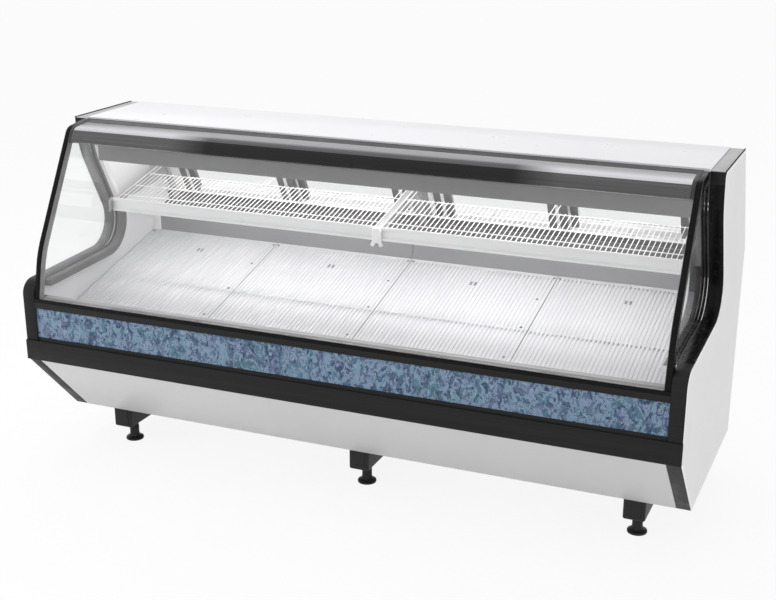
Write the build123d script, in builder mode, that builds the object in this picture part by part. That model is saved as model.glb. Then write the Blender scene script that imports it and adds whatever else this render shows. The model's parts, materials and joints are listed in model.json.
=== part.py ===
from build123d import *
from math import atan2, cos, hypot, pi, radians, sin, sqrt, tan
import os

# Deli display case. Millimetres, +X along the case, +Y to the back, +Z up.
# The origin is on the floor under the middle of the case. In the sizes below, a depth is
# counted back from the front face and a height up from the floor.

# Overall sizes
case_length = 2500
case_depth = 1020
case_height = 1316

# Side outline of the cabinet
body_bottom = 170
kick_top = 457
kick_back = 281
seat_height = 700
kink_height = 911
back_lean = 212

# S edge of the end panels
end_front = 6
end_top_front = 415
brow_step = 9
brow_drop = 126
brow_radius = 300
throat_depth = 626
throat_rise = 87
throat_radius = 110
lip_rise = 61
lip_radius = 55

# Sheets, walls and clearances
sheet = 2
end_core = 50
tank_wall = 45
fit_gap = 0.3
shaft_gap = 0.05

# Front profiles
bumper_height = 73
bumper_lip = 22
bumper_recess = 10
decor_front = 12
decor_thick = 5
seat_front_height = 30
seat_top = 10

# Front glass and its hinge
glass_foot_depth = 8
glass_foot_gap = 0.5
glass_bend_depth = 44
glass_bend_rise = 166
glass_bend_radius = 350
nose_depth = 290
nose_drop = 16
nose_radius = 45
nose_end_depth = 400
nose_end_drop = 2
nose_thick = 14
nose_length = 56
nose_glass_grip = 25
glass_thick = 8
trim_width = 20
trim_depth = 30
trim_gap = 1
bead_depth = 404
bead_drop = 13
bead_radius = 5
hook_wall = 4
neck_thick = 4
hinge_gap = 1
hinge_plate_thick = 6
hinge_plate_height = 48

# End glass and its channel
channel_width = 40
channel_depth = 25
channel_top_drop = 58
channel_front = 60
end_glass_thick = 6
end_glass_inset = 5
end_glass_grip = 10
end_glass_clear = 3
groove_gap = 0.5

# Canopy
beam_depth = 50
beam_height = 34
beam_wall = 3
beam_top_drop = 20
top_setback = 12
valance_drop = 166
valance_thick = 3
valance_gap = 2
ceiling_drop = 36
lamp_radius = 13
lamp_drop = 61
lamp_depths = (510, 620)
lamp_end = 150
lamp_holder = 12

# Rear doors
door_thick = 18
lane_gap = 1
lane_web = 4
track_skin = 2
track_web = 5
sill_height = 30
groove_depth = 16
door_lift_room = 4
door_overlap = 38
door_end_gap = 2
door_stile = 75
door_rail = 40
middle_post_half = 55
end_post_width = 98
door_glass_thick = 6
pull_width = 16
pull_length = 120
pull_depth = 5

# Decks and rear duct
deck_front_gap = 16
deck_front_height = 580
deck_back_height = 767
deck_flange = 20
deck_count = 4
deck_gap = 2
deck_side_gap = 3
slot_pitch = 15.8
slot_width = 5.5
slot_margin = 12
slot_end = 18
slot_rows = 2
slot_bridge = 10
ledge_depth = 36
duct_back_gap = 177
duct_wall_top = 835
duct_rise = 36
duct_flange = 30
duct_slot_length = 60
duct_slot_width = 8
duct_slot_pitch = 80

# Wire shelves
shelf_front = 480
shelf_drop = 336
shelf_slope = 12.6
shelf_back_gap = 8
shelf_thick = 6
bracket_gap = 5
shelf_middle_gap = 12
wire_pitch = 13.5
wire_width = 4.4
shelf_cross_wires = 4
rail_drop = 2
rail_height = 44
rail_thick = 6
arm_thick = 6
arm_front_depth = 24
arm_back_depth = 60
arm_nose = 22
arm_nose_rise = 11
flange_width = 30
flange_thick = 3
post_width = 24
post_depth = 18
post_foot = 4
post_head_gap = 12

# Legs and feet
leg_inset = 200
leg_width = 80
leg_height = 90
leg_wall = 3
leg_front = 305
leg_back_gap = 20
foot_disc_radius = 36
foot_disc_height = 10
foot_neck_radius = 19
foot_neck_start = 24
foot_clear = 4
stem_radius = 8
stem_length = 66
nut_wall = 6
nut_height = 15
foot_front = 384
foot_back_gap = 110

# Base frame
tube_depth = 40
tube_height = 30
tube_wall = 2
tube_front = 290
tube_back_gap = 50
floor_front = 262

# Refrigeration
coil_depth = 180
coil_height = 130
coil_lift = 8
coil_base = 8
coil_end_gap = 190
coil_behind_gap = 32
fin_pitch = 25
fin_groove = 22
shroud_gap = 22
evaporator_fan_x = 560
evaporator_fan_radius = 75
condenser_x = 350
condenser_width = 400
condenser_depth = 55
condenser_margin = 3
condenser_back_gap = 20
condenser_shroud_depth = 25
condenser_fan_radius = 93
fan_tip_gap = 6
fan_depth = 24
fan_blades = 5
blade_thick = 2
blade_root = 24
blade_tip = 38
blade_pitch = 32
hub_radius = 20
shaft_radius = 3
motor_radius = 32
motor_length = 46
strap_width = 20
strap_thick = 4
strap_reach = 12
strap_stand = 16
compressor_x = -320
compressor_back_gap = 230
compressor_radius = 90
compressor_height = 200
compressor_dome = 55
compressor_plate = 220

# Rear grille and controls
grille_back_gap = 4
louvre_length = 260
louvre_height = 8
louvre_pitch_x = 320
louvre_pitch_z = 22
louvre_rows = 9
louvre_columns = 5
louvre_shift = -250
louvre_centre = 310
panel_x = 930
panel_width = 240
panel_height = 90
panel_middle = 350
panel_thick = 2
box_depth = 40
box_wall = 3
button_radius = 6
button_length = 14
button_proud = 2
button_spacing = 40
button_x = 880
rocker_x = 1000
rocker_width = 22
rocker_half = 11
rocker_clear = 1.5
rocker_pin = 2
gland_x = 1120
gland_height = 230
gland_radius = 11
gland_flange = 16
gland_length = 24
gland_proud = 4
screw_head_radius = 5
screw_head_height = 2
screw_radius = 2
screw_length = 6
screw_edge = 14
screw_columns = 5

# Values that follow from the sizes above
half = case_length / 2
front = -case_depth / 2
wall_in = half - sheet - end_core
liner_in = wall_in - sheet
tank_front = decor_front + decor_thick
tank_back = case_depth - grille_back_gap
tank_floor = kick_top + sheet
inner_front = tank_front + tank_wall
inner_back = tank_back - tank_wall
inner_floor = tank_floor + tank_wall
liner_front = inner_front + sheet
liner_floor = inner_floor + sheet
liner_back = inner_back - sheet
top_under = case_height - sheet
kick_run = (kick_back - end_front) / (kick_top - body_bottom)
kick_wall = sheet * hypot(1, kick_run)

# S edge from the top down to the front, and the outer line of the front glass from the sill up
brow = (end_top_front + brow_step, case_height - brow_drop)
throat = (throat_depth, seat_height + throat_rise)
lip = (end_front, seat_height + lip_rise)
s_radii = [brow_radius, throat_radius]
glass_line = [
    (glass_foot_depth, seat_height + glass_foot_gap),
    (glass_bend_depth, seat_height + glass_bend_rise),
    (nose_depth, case_height - nose_drop),
    (nose_end_depth, case_height - nose_end_drop),
]
glass_radii = [glass_bend_radius, nose_radius]
bead = (bead_depth, case_height - bead_drop)
hook_radius = bead_radius + hook_wall

# Direction of the leaning back, up along it
back_run = hypot(back_lean, case_height - kink_height)
up_y = -back_lean / back_run
up_z = (case_height - kink_height) / back_run

os.makedirs("parts", exist_ok=True)


def side(x):
    """Plane of a side view at x: its right is the back of the case and its up is up."""
    return Plane(origin=(x, front, 0), x_dir=(0, 1, 0), z_dir=(1, 0, 0))


def block(x, y, z, mode=Mode.ADD):
    """Box between pairs of limits."""
    with Locations(((x[0] + x[1]) / 2, front + (y[0] + y[1]) / 2, (z[0] + z[1]) / 2)):
        Box(x[1] - x[0], y[1] - y[0], z[1] - z[0], mode=mode)


def prism(points, x, mode=Mode.ADD):
    """Straight-sided side-view outline, extruded between two limits along the case."""
    with BuildSketch(side(x[0])) as outline:
        with BuildLine():
            Polyline(*points, close=True)
        make_face()
    extrude(outline.sketch, amount=x[1] - x[0], mode=mode)


def band(points, radii, thick, hand, x, mode=Mode.ADD):
    """Strip of one thickness beside a rounded side-view line, extruded along the case."""
    with BuildSketch(side(x[0])) as strip:
        with BuildLine():
            FilletPolyline(*points, radius=radii)
            offset(amount=thick, side=hand)
        make_face()
    extrude(strip.sketch, amount=x[1] - x[0], mode=mode)


def rod(centre, radius, y, mode=Mode.ADD):
    """Cylinder along the depth between two limits; centre is (x, height)."""
    plane = Plane(origin=(centre[0], front + y[0], centre[1]), x_dir=(1, 0, 0), z_dir=(0, 1, 0))
    with BuildSketch(plane) as disc:
        Circle(radius)
    extrude(disc.sketch, amount=y[1] - y[0], mode=mode)


def inset_line(points, distance):
    """Open line moved sideways, to the right of its direction, with mitred corners."""
    normals = []
    for start, end in zip(points, points[1:]):
        length = hypot(end[0] - start[0], end[1] - start[1])
        normals.append(((end[1] - start[1]) / length, (start[0] - end[0]) / length))
    moved = []
    for index, point in enumerate(points):
        before = normals[max(index - 1, 0)]
        after = normals[min(index, len(normals) - 1)]
        scale = distance / (1 + before[0] * after[0] + before[1] * after[1])
        across = (before[0] + after[0], before[1] + after[1])
        moved.append((point[0] + scale * across[0], point[1] + scale * across[1]))
    return moved


def rear_point(along, inward):
    """Side-view point on the leaning back: along it from the kink, and inward from its face."""
    return (case_depth + up_y * along - up_z * inward, kink_height + up_z * along + up_y * inward)


def s_edge_depth(height):
    """Depth of the straight upper end of the S edge at a height."""
    return end_top_front + brow_step * (case_height - height) / brow_drop


def mirrored(limits):
    """The same limits along the case on the other side of the middle."""
    return (-limits[1], -limits[0])


def both_ends(limits):
    """Limits at the left end and at the right end."""
    return (mirrored(limits), limits)


def save(piece, node):
    """Label a finished piece and write it."""
    piece.part.label = node
    export_step(piece.part, f"parts/{node}.step")


# Leg rails: closed tubes with a welded nut over each foot
leg_bottom = body_bottom - leg_height
leg_limits = (leg_front, case_depth - leg_back_gap)
leg_places = (-(half - leg_inset), 0, half - leg_inset)
foot_depths = {"front": foot_front, "rear": case_depth - foot_back_gap}
with BuildPart() as leg_rails:
    for leg_x in leg_places:
        leg = (leg_x - leg_width / 2, leg_x + leg_width / 2)
        inner = (leg[0] + leg_wall, leg[1] - leg_wall)
        block(leg, leg_limits, (leg_bottom, body_bottom))
        block(
            inner,
            (leg_limits[0] + leg_wall, leg_limits[1] - leg_wall),
            (leg_bottom + leg_wall, body_bottom - leg_wall),
            Mode.SUBTRACT,
        )
        for foot_depth in foot_depths.values():
            with Locations((leg_x, front + foot_depth, leg_bottom + leg_wall)):
                Cylinder(stem_radius + nut_wall, nut_height, align=(Align.CENTER, Align.CENTER, Align.MIN))
            with Locations((leg_x, front + foot_depth, leg_bottom)):
                Cylinder(
                    stem_radius + shaft_gap,
                    2 * (leg_wall + nut_height),
                    mode=Mode.SUBTRACT,
                )
save(leg_rails, "leg_rails")

# Levelling feet: disc, neck and threaded stem turned as one
neck_top = leg_bottom - foot_clear
for row, foot_depth in foot_depths.items():
    for place, leg_x in zip(("left", "middle", "right"), leg_places):
        upright = Plane(origin=(leg_x, front + foot_depth, 0), x_dir=(1, 0, 0), z_dir=(0, -1, 0))
        with BuildPart() as foot:
            with BuildSketch(upright):
                with BuildLine():
                    Polyline(
                        (0, 0),
                        (foot_disc_radius, 0),
                        (foot_disc_radius, foot_disc_height),
                        (foot_neck_radius, foot_neck_start),
                        (foot_neck_radius, neck_top),
                        (stem_radius, neck_top),
                        (stem_radius, neck_top + stem_length),
                        (0, neck_top + stem_length),
                        close=True,
                    )
                make_face()
            revolve(axis=Axis((leg_x, front + foot_depth, 0), (0, 0, 1)))
        save(foot, f"foot_{row}_{place}")

# Base frame: two long tubes joined by cross tubes over the leg rails
tube_top = body_bottom + tube_height
tube_rows = (
    (tube_front, tube_front + tube_depth),
    (case_depth - tube_back_gap - tube_depth, case_depth - tube_back_gap),
)
cross_limits = (tube_rows[0][1], tube_rows[1][0])
with BuildPart() as base_frame:
    for tube in tube_rows:
        block((-wall_in, wall_in), tube, (body_bottom, tube_top))
    for leg_x in leg_places:
        block((leg_x - tube_depth / 2, leg_x + tube_depth / 2), cross_limits, (body_bottom, tube_top))
    for tube in tube_rows:
        block(
            (-wall_in, wall_in),
            (tube[0] + tube_wall, tube[1] - tube_wall),
            (body_bottom + tube_wall, tube_top - tube_wall),
            Mode.SUBTRACT,
        )
save(base_frame, "base_frame")

# Machine floor pan
floor_top = tube_top + sheet
grille_in = tank_back - sheet
with BuildPart() as floor_pan:
    block((-wall_in, wall_in), (floor_front, grille_in), (tube_top, floor_top))
save(floor_pan, "floor_pan")

# Kick panel: sloping sheet with a lip under the tank and a lip at its foot
with BuildPart() as kick_panel:
    prism(
        [
            (end_front, tank_floor),
            (end_front, kick_top),
            (kick_back, body_bottom),
            (tube_front, body_bottom),
            (tube_front, body_bottom + sheet),
            (kick_back + kick_wall - sheet * kick_run, body_bottom + sheet),
            (end_front + kick_wall, kick_top),
            (inner_front, kick_top),
            (inner_front, tank_floor),
        ],
        (-wall_in, wall_in),
    )
save(kick_panel, "kick_panel")

# Bumper rail: thick strip between the end panels, with a thin tongue across each of them
bumper_bottom = tank_floor
bumper_top = bumper_bottom + bumper_height
decor_bottom = bumper_top + bumper_lip
with BuildPart() as bumper_rail:
    prism(
        [
            (0, bumper_bottom),
            (0, bumper_top),
            (bumper_recess, bumper_top),
            (bumper_recess, decor_bottom),
            (tank_front, decor_bottom),
            (tank_front, bumper_bottom),
        ],
        (-wall_in, wall_in),
    )
    block((-half, half), (0, end_front), (bumper_bottom, bumper_top))
save(bumper_rail, "bumper_rail")

# Decor panel between the bumper and the glass sill
decor_top = seat_height - seat_front_height
with BuildPart() as decor_panel:
    block((-wall_in, wall_in), (decor_front, tank_front), (decor_bottom, decor_top))
save(decor_panel, "decor_panel")

# Glass sill: angle over the front wall of the tank
tank_top = seat_height - seat_top
with BuildPart() as glass_seat:
    prism(
        [
            (end_front, decor_top),
            (end_front, seat_height),
            (liner_front, seat_height),
            (liner_front, tank_top),
            (tank_front, tank_top),
            (tank_front, decor_top),
        ],
        (-wall_in, wall_in),
    )
save(glass_seat, "glass_seat")


def sill_seat(depth):
    """Height of the sloping face that carries the door sill."""
    return kink_height + up_y * (case_depth - depth) / up_z


# Insulated tank: trough that is open upwards and closed by the end panels
with BuildPart() as tank_body:
    prism(
        [
            (tank_front, tank_top),
            (tank_front, tank_floor),
            (tank_back, tank_floor),
            (tank_back, sill_seat(tank_back)),
            (inner_back, sill_seat(inner_back)),
            (inner_back, inner_floor),
            (inner_front, inner_floor),
            (inner_front, tank_top),
        ],
        (-liner_in, liner_in),
    )
save(tank_body, "tank_body")

# S-edge outline of the end panels
end_outline = [
    (end_front, kick_top),
    (kick_back, body_bottom),
    (case_depth, body_bottom),
    (case_depth, kink_height),
    (case_depth - back_lean, case_height),
    (end_top_front, case_height),
]
s_corners = [end_outline[-1], brow, throat, lip]


def end_plate(x, mode=Mode.ADD):
    """Plate with the full side outline of the case."""
    with BuildSketch(side(x[0])) as outline:
        with BuildLine():
            FilletPolyline(*s_corners, end_outline[0], radius=s_radii + [lip_radius])
            Polyline(*end_outline)
        make_face()
    extrude(outline.sketch, amount=x[1] - x[0], mode=mode)


# Liner: trough sheet with a front ledge for the decks, and a sheet on each end wall
ledge_top = deck_front_height - deck_flange
with BuildPart() as tank_liner:
    prism(
        [
            (inner_front, tank_top),
            (inner_front, inner_floor),
            (inner_back, inner_floor),
            (inner_back, sill_seat(inner_back)),
            (liner_back, sill_seat(liner_back)),
            (liner_back, liner_floor),
            (liner_front, liner_floor),
            (liner_front, ledge_top - sheet),
            (liner_front + ledge_depth, ledge_top - sheet),
            (liner_front + ledge_depth, ledge_top),
            (liner_front, ledge_top),
            (liner_front, tank_top),
        ],
        (-liner_in, liner_in),
    )
    for end in both_ends((liner_in, wall_in)):
        end_plate(end)
        block(end, (0, case_depth), (0, inner_floor), Mode.SUBTRACT)
        block(end, (0, inner_front), (0, case_height), Mode.SUBTRACT)
        block(end, (0, liner_front), (tank_top, case_height), Mode.SUBTRACT)
        block(end, (0, case_depth), (top_under, case_height), Mode.SUBTRACT)
save(tank_liner, "tank_liner")

# End panels: moulded black cores under the folded skins
for node, end in zip(("end_panel_left", "end_panel_right"), both_ends((wall_in, half - sheet))):
    with BuildPart() as end_panel:
        end_plate(end)
        block(end, (0, case_depth), (top_under, case_height), Mode.SUBTRACT)
    save(end_panel, node)

# End skins: outer sheets folded over the tops of the end panels
with BuildPart() as end_skins:
    for outer, cap in zip(both_ends((half - sheet, half)), both_ends((wall_in, half - sheet))):
        end_plate(outer)
        block(cap, (end_top_front, case_depth - back_lean), (top_under, case_height))
save(end_skins, "end_skins")

# Glass channels along the S edges, grooved for the end glasses
channel_top = case_height - channel_top_drop
s_line = [
    (s_edge_depth(channel_top), channel_top),
    brow,
    throat,
    (channel_front, lip[1] + (throat[1] - lip[1]) * (channel_front - lip[0]) / (throat[0] - lip[0])),
]
end_glass_out = liner_in - end_glass_inset
end_glass_limits = (end_glass_out - end_glass_thick, end_glass_out)
groove_limits = (end_glass_limits[0] - groove_gap, end_glass_limits[1] + groove_gap)
with BuildPart() as glass_channels:
    for end in both_ends((liner_in - channel_width, liner_in)):
        band(s_line, s_radii, channel_depth, Side.LEFT, end)
    for groove in both_ends(groove_limits):
        band(s_line, s_radii, end_glass_grip + groove_gap, Side.LEFT, groove, Mode.SUBTRACT)
save(glass_channels, "glass_channels")

# End glasses: from behind the front trims back into the channels
end_front_line = inset_line(glass_line, trim_depth + end_glass_clear)
end_front_radii = [radius - trim_depth - end_glass_clear for radius in glass_radii]
foot_rise = (s_line[-1][1] - end_front_line[0][1]) / (end_front_line[1][1] - end_front_line[0][1])
end_front_line[0] = (
    end_front_line[0][0] + foot_rise * (end_front_line[1][0] - end_front_line[0][0]),
    s_line[-1][1],
)
end_glass_top = (s_edge_depth(channel_top), channel_top)
with BuildPart() as end_glasses:
    for end in both_ends(end_glass_limits):
        with BuildSketch(side(end[0])):
            with BuildLine():
                FilletPolyline(*end_front_line, radius=end_front_radii)
                Line(end_front_line[-1], end_glass_top)
                FilletPolyline(*s_line, radius=s_radii)
                Line(s_line[-1], end_front_line[0])
            make_face()
            with BuildLine():
                FilletPolyline(*s_line, radius=s_radii)
                offset(amount=end_glass_grip, side=Side.LEFT)
            make_face()
        extrude(amount=end_glass_thick)
save(end_glasses, "end_glasses")

# Front glass, held in the nose profile at its top
glass_half = wall_in - trim_gap - trim_width
rise_length = hypot(nose_depth - glass_bend_depth, glass_line[2][1] - glass_line[1][1])
rise_y = (nose_depth - glass_bend_depth) / rise_length
rise_z = (glass_line[2][1] - glass_line[1][1]) / rise_length
glass_wall = (nose_thick - glass_thick) / 2


def on_rise(drop):
    """Point on the straight rise of the glass line, a length below its upper corner."""
    return (nose_depth - rise_y * drop, glass_line[2][1] - rise_z * drop)


glass_top = nose_length - nose_glass_grip
sunk = trim_depth / hypot(glass_bend_depth - glass_foot_depth, glass_line[1][1] - glass_line[0][1])
sunk_foot = (
    glass_line[0][0] - sunk * (glass_line[1][0] - glass_line[0][0]),
    glass_line[0][1] - sunk * (glass_line[1][1] - glass_line[0][1]),
)
below_sill = (body_bottom, glass_line[0][1])
glass_path = inset_line([sunk_foot, glass_line[1], on_rise(glass_top)], glass_wall)
with BuildPart() as front_glass:
    band(glass_path, [glass_bend_radius - glass_wall], glass_thick, Side.RIGHT, (-glass_half, glass_half))
    block((-half, half), (-trim_depth, trim_depth * 2), below_sill, Mode.SUBTRACT)
save(front_glass, "front_glass")

# Black side trims of the front glass
with BuildPart() as glass_trims:
    for end in both_ends((glass_half, glass_half + trim_width)):
        band([sunk_foot] + glass_line[1:], glass_radii, trim_depth, Side.RIGHT, end)
    block((-half, half), (-trim_depth, trim_depth * 2), below_sill, Mode.SUBTRACT)
save(glass_trims, "glass_trims")

# Nose profile: rounded strip that grips the glass and hooks over the bead of the hinge rail
hook_start = -30
hook_end = 115
opening_reach = 3 * hook_radius
opening_angles = (hook_start, (hook_start + hook_end) / 2, hook_end)
with BuildPart() as glass_nose:
    with BuildSketch(side(-glass_half)):
        with BuildLine():
            FilletPolyline(on_rise(nose_length), *glass_line[2:], radius=[nose_radius])
            offset(amount=nose_thick, side=Side.RIGHT)
        make_face()
        with Locations(bead):
            Circle(hook_radius)
            Circle(bead_radius + shaft_gap, mode=Mode.SUBTRACT)
        with BuildLine():
            Polyline(
                bead,
                *[
                    (
                        bead[0] + opening_reach * cos(radians(angle)),
                        bead[1] + opening_reach * sin(radians(angle)),
                    )
                    for angle in opening_angles
                ],
                close=True,
            )
        make_face(mode=Mode.SUBTRACT)
    extrude(amount=2 * glass_half)
    add(front_glass.part, mode=Mode.SUBTRACT)
save(glass_nose, "glass_nose")

# Hinge rail: round bead on a neck, standing off a plate on the canopy beam
hinge_plate_depth = bead_depth + hook_radius + hinge_gap
hinge_plate_back = hinge_plate_depth + hinge_plate_thick
hinge_plate_top = case_height - 2 * sheet
with BuildPart() as hinge_rail:
    with BuildSketch(side(-glass_half)):
        with Locations(bead):
            Circle(bead_radius)
        with BuildLine():
            Polyline(
                (bead[0], bead[1] - neck_thick / 2),
                (hinge_plate_back, bead[1] - neck_thick / 2),
                (hinge_plate_back, bead[1] + neck_thick / 2),
                (bead[0], bead[1] + neck_thick / 2),
                close=True,
            )
        make_face()
        with BuildLine():
            Polyline(
                (hinge_plate_depth, hinge_plate_top - hinge_plate_height),
                (hinge_plate_back, hinge_plate_top - hinge_plate_height),
                (hinge_plate_back, hinge_plate_top),
                (hinge_plate_depth, hinge_plate_top),
                close=True,
            )
        make_face()
    extrude(amount=2 * glass_half)
save(hinge_rail, "hinge_rail")

# Rear door tracks: a sill and a header with two grooves each
lane_outer = track_skin + track_web + lane_gap
lane_step = door_thick + 2 * lane_gap + lane_web
lanes = [(lane_outer + step * lane_step, lane_outer + step * lane_step + door_thick) for step in (0, 1)]
lane_grooves = [(lane[0] - lane_gap, lane[1] + lane_gap) for lane in lanes]
track_depth = lane_grooves[-1][1] + track_web
head_top = (top_under - kink_height - up_y * track_skin) / up_z
head_bottom = head_top - sill_height


def track(back, mouth, floor):
    """Grooved track outline: back is its plain face, mouth its open face, floor the groove bottoms."""
    points = [(back, track_skin), (mouth, track_skin)]
    for groove in lane_grooves:
        points += [(mouth, groove[0]), (floor, groove[0]), (floor, groove[1]), (mouth, groove[1])]
    points += [(mouth, track_depth), (back, track_depth)]
    return [rear_point(along, inward) for along, inward in points]


with BuildPart() as door_tracks:
    prism(track(0, sill_height, sill_height - groove_depth), (-liner_in, liner_in))
    prism(track(head_top, head_bottom, head_bottom + groove_depth), (-liner_in, liner_in))
save(door_tracks, "door_tracks")

# Door posts between the tracks: one in the middle and one at each end
end_post = (liner_in - end_post_width, liner_in)
with BuildPart() as door_posts:
    for post in (mirrored(end_post), (-middle_post_half, middle_post_half), end_post):
        prism(
            [
                rear_point(sill_height, track_skin),
                rear_point(head_bottom, track_skin),
                rear_point(head_bottom, track_depth),
                rear_point(sill_height, track_depth),
            ],
            post,
        )
save(door_posts, "door_posts")

# Rear doors: a pair on each side of the middle post, odd doors in the inner lane
pair_limits = (middle_post_half + door_end_gap, end_post[0] - door_end_gap)
door_width = (pair_limits[1] - pair_limits[0] + door_overlap) / 2
door_places = [start + door_width / 2 for start in (-pair_limits[1], pair_limits[0])]
door_places += [end - door_width / 2 for end in (-pair_limits[0], pair_limits[1])]
door_places.sort()
door_low = sill_height - groove_depth + fit_gap
door_high = head_bottom + groove_depth - door_lift_room
door_height = door_high - door_low
door_middle = (door_low + door_high) / 2
rear_plane = Plane(origin=(0, front + case_depth, kink_height), x_dir=(1, 0, 0), z_dir=(0, -up_z, up_y))
pane_size = (door_width - 2 * door_stile, door_height - 2 * door_rail)
for number, door_x in enumerate(door_places, start=1):
    lane = lanes[number % 2]
    pull_side = -1 if number % 2 else 1
    pull_x = door_x + pull_side * (door_width - door_stile - door_overlap) / 2
    with BuildPart() as door_frame:
        with BuildSketch(rear_plane.offset(lane[0])):
            with Locations((door_x, door_middle)):
                Rectangle(door_width, door_height)
                Rectangle(*pane_size, mode=Mode.SUBTRACT)
        extrude(amount=door_thick)
        with BuildSketch(rear_plane.offset(lane[0])):
            with Locations((pull_x, door_middle)):
                Rectangle(pull_width, pull_length)
        extrude(amount=pull_depth, mode=Mode.SUBTRACT)
    save(door_frame, f"door_frame_{number}")
    with BuildPart() as door_glass:
        with BuildSketch(rear_plane.offset(lane[0] + (door_thick - door_glass_thick) / 2)):
            with Locations((door_x, door_middle)):
                Rectangle(*pane_size)
        extrude(amount=door_glass_thick)
    save(door_glass, f"door_glass_{number}")

# Canopy frame: hollow beam behind the hinge rail, ceiling sheet and lamp holders
beam_top = case_height - beam_top_drop
beam_bottom = beam_top - beam_height
beam_front = hinge_plate_back
beam_back = beam_front + beam_depth
ceiling_under = case_height - ceiling_drop
lamp_height = case_height - lamp_drop
lamp_half = liner_in - lamp_end


def rear_depth(height, inward):
    """Depth at a height on a plane that is parallel to the leaning back."""
    along = (height - kink_height - up_y * inward) / up_z
    return rear_point(along, inward)[0]


with BuildPart() as canopy_frame:
    block((-liner_in, liner_in), (beam_front, beam_back), (beam_bottom, beam_top))
    block(
        (-liner_in, liner_in),
        (beam_front + beam_wall, beam_back - beam_wall),
        (beam_bottom + beam_wall, beam_top - beam_wall),
        Mode.SUBTRACT,
    )
    prism(
        [
            (beam_back, ceiling_under),
            (rear_depth(ceiling_under, track_depth), ceiling_under),
            (rear_depth(ceiling_under + sheet, track_depth), ceiling_under + sheet),
            (beam_back, ceiling_under + sheet),
        ],
        (-liner_in, liner_in),
    )
    for lamp_depth in lamp_depths:
        for end in both_ends((lamp_half, lamp_half + lamp_holder)):
            block(
                end,
                (lamp_depth - lamp_radius, lamp_depth + lamp_radius),
                (lamp_height - lamp_radius, ceiling_under),
            )
save(canopy_frame, "canopy_frame")

# Lamp tubes between their holders
with BuildPart() as lamp_tubes:
    for lamp_depth in lamp_depths:
        with BuildSketch(side(-lamp_half)) as lamp_end_face:
            with Locations((lamp_depth, lamp_height)):
                Circle(lamp_radius)
        extrude(lamp_end_face.sketch, amount=2 * lamp_half)
save(lamp_tubes, "lamp_tubes")

# Valance under the beam
valance_half = liner_in - channel_width - valance_gap
with BuildPart() as valance:
    block(
        (-valance_half, valance_half),
        (beam_front, beam_front + valance_thick),
        (case_height - valance_drop, beam_bottom),
    )
save(valance, "valance")

# Top panel: sheet with a front flange on the beam
top_front_depth = beam_front + top_setback
with BuildPart() as top_panel:
    block((-wall_in, wall_in), (top_front_depth, case_depth - back_lean), (top_under, case_height))
    block((-liner_in, liner_in), (top_front_depth, top_front_depth + sheet), (beam_top, top_under))
save(top_panel, "top_panel")

# Rear duct panels: wall behind the decks with a shelf for them, and a slotted slope up to the doors
duct_front = case_depth - duct_back_gap
duct_back = duct_front + sheet
deck_back = duct_front - deck_side_gap
duct_shelf = deck_back_height - deck_flange
slope_top = duct_wall_top + duct_rise
duct_limits = (deck_gap / 2, liner_in - deck_gap)
slope_angle = atan2(duct_rise, liner_back - duct_front)
slope_length = hypot(duct_rise, liner_back - duct_front)
with BuildPart() as duct_panels:
    for end in both_ends(duct_limits):
        prism(
            [
                (duct_front - duct_flange, duct_shelf - sheet),
                (duct_back, duct_shelf - sheet),
                (duct_back, duct_wall_top - sheet),
                (liner_back, slope_top - sheet),
                (liner_back, slope_top),
                (duct_front, duct_wall_top),
                (duct_front, duct_shelf),
                (duct_front - duct_flange, duct_shelf),
            ],
            end,
        )
        slot_count = int((end[1] - end[0]) / duct_slot_pitch) - 1
        slope_plane = Plane(
            origin=((end[0] + end[1]) / 2, front + duct_front, duct_wall_top),
            x_dir=(1, 0, 0),
            z_dir=(0, -sin(slope_angle), cos(slope_angle)),
        )
        with BuildSketch(slope_plane) as vents:
            with Locations((0, slope_length / 2)):
                with GridLocations(duct_slot_pitch, 1, slot_count, 1):
                    Rectangle(duct_slot_length, duct_slot_width)
        extrude(vents.sketch, amount=2 * sheet, both=True, mode=Mode.SUBTRACT)
save(duct_panels, "duct_panels")

# Decks: sloping slotted trays that stand on the front ledge and on the duct shelf
deck_front = liner_front + deck_front_gap
deck_angle = atan2(deck_back_height - deck_front_height, deck_back - deck_front)
deck_length = hypot(deck_back_height - deck_front_height, deck_back - deck_front)
deck_drop = sheet / cos(deck_angle)
deck_rise = (deck_back_height - deck_front_height) / (deck_back - deck_front)
deck_span = 2 * (liner_in - deck_side_gap)
deck_width = (deck_span - (deck_count - 1) * deck_gap) / deck_count
row_length = (deck_length - 2 * slot_end - (slot_rows - 1) * slot_bridge) / slot_rows
slots_across = int((deck_width - 2 * slot_margin) / slot_pitch) + 1
for number in range(1, deck_count + 1):
    deck_x = -deck_span / 2 + (number - 1) * (deck_width + deck_gap) + deck_width / 2
    deck_plane = Plane(
        origin=(deck_x, front + deck_front, deck_front_height),
        x_dir=(1, 0, 0),
        z_dir=(0, -sin(deck_angle), cos(deck_angle)),
    )
    with BuildPart() as deck:
        prism(
            [
                (deck_front, ledge_top),
                (deck_front, deck_front_height),
                (deck_back, deck_back_height),
                (deck_back, duct_shelf),
                (deck_back - sheet, duct_shelf),
                (deck_back - sheet, deck_back_height - deck_drop - sheet * deck_rise),
                (deck_front + sheet, deck_front_height - deck_drop + sheet * deck_rise),
                (deck_front + sheet, ledge_top),
            ],
            (deck_x - deck_width / 2, deck_x + deck_width / 2),
        )
        with BuildSketch(deck_plane) as slots:
            with Locations((0, deck_length / 2)):
                with GridLocations(slot_pitch, row_length + slot_bridge, slots_across, slot_rows):
                    Rectangle(slot_width, row_length)
        extrude(slots.sketch, amount=2 * sheet, both=True, mode=Mode.SUBTRACT)
    save(deck, f"deck_{number}")

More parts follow.
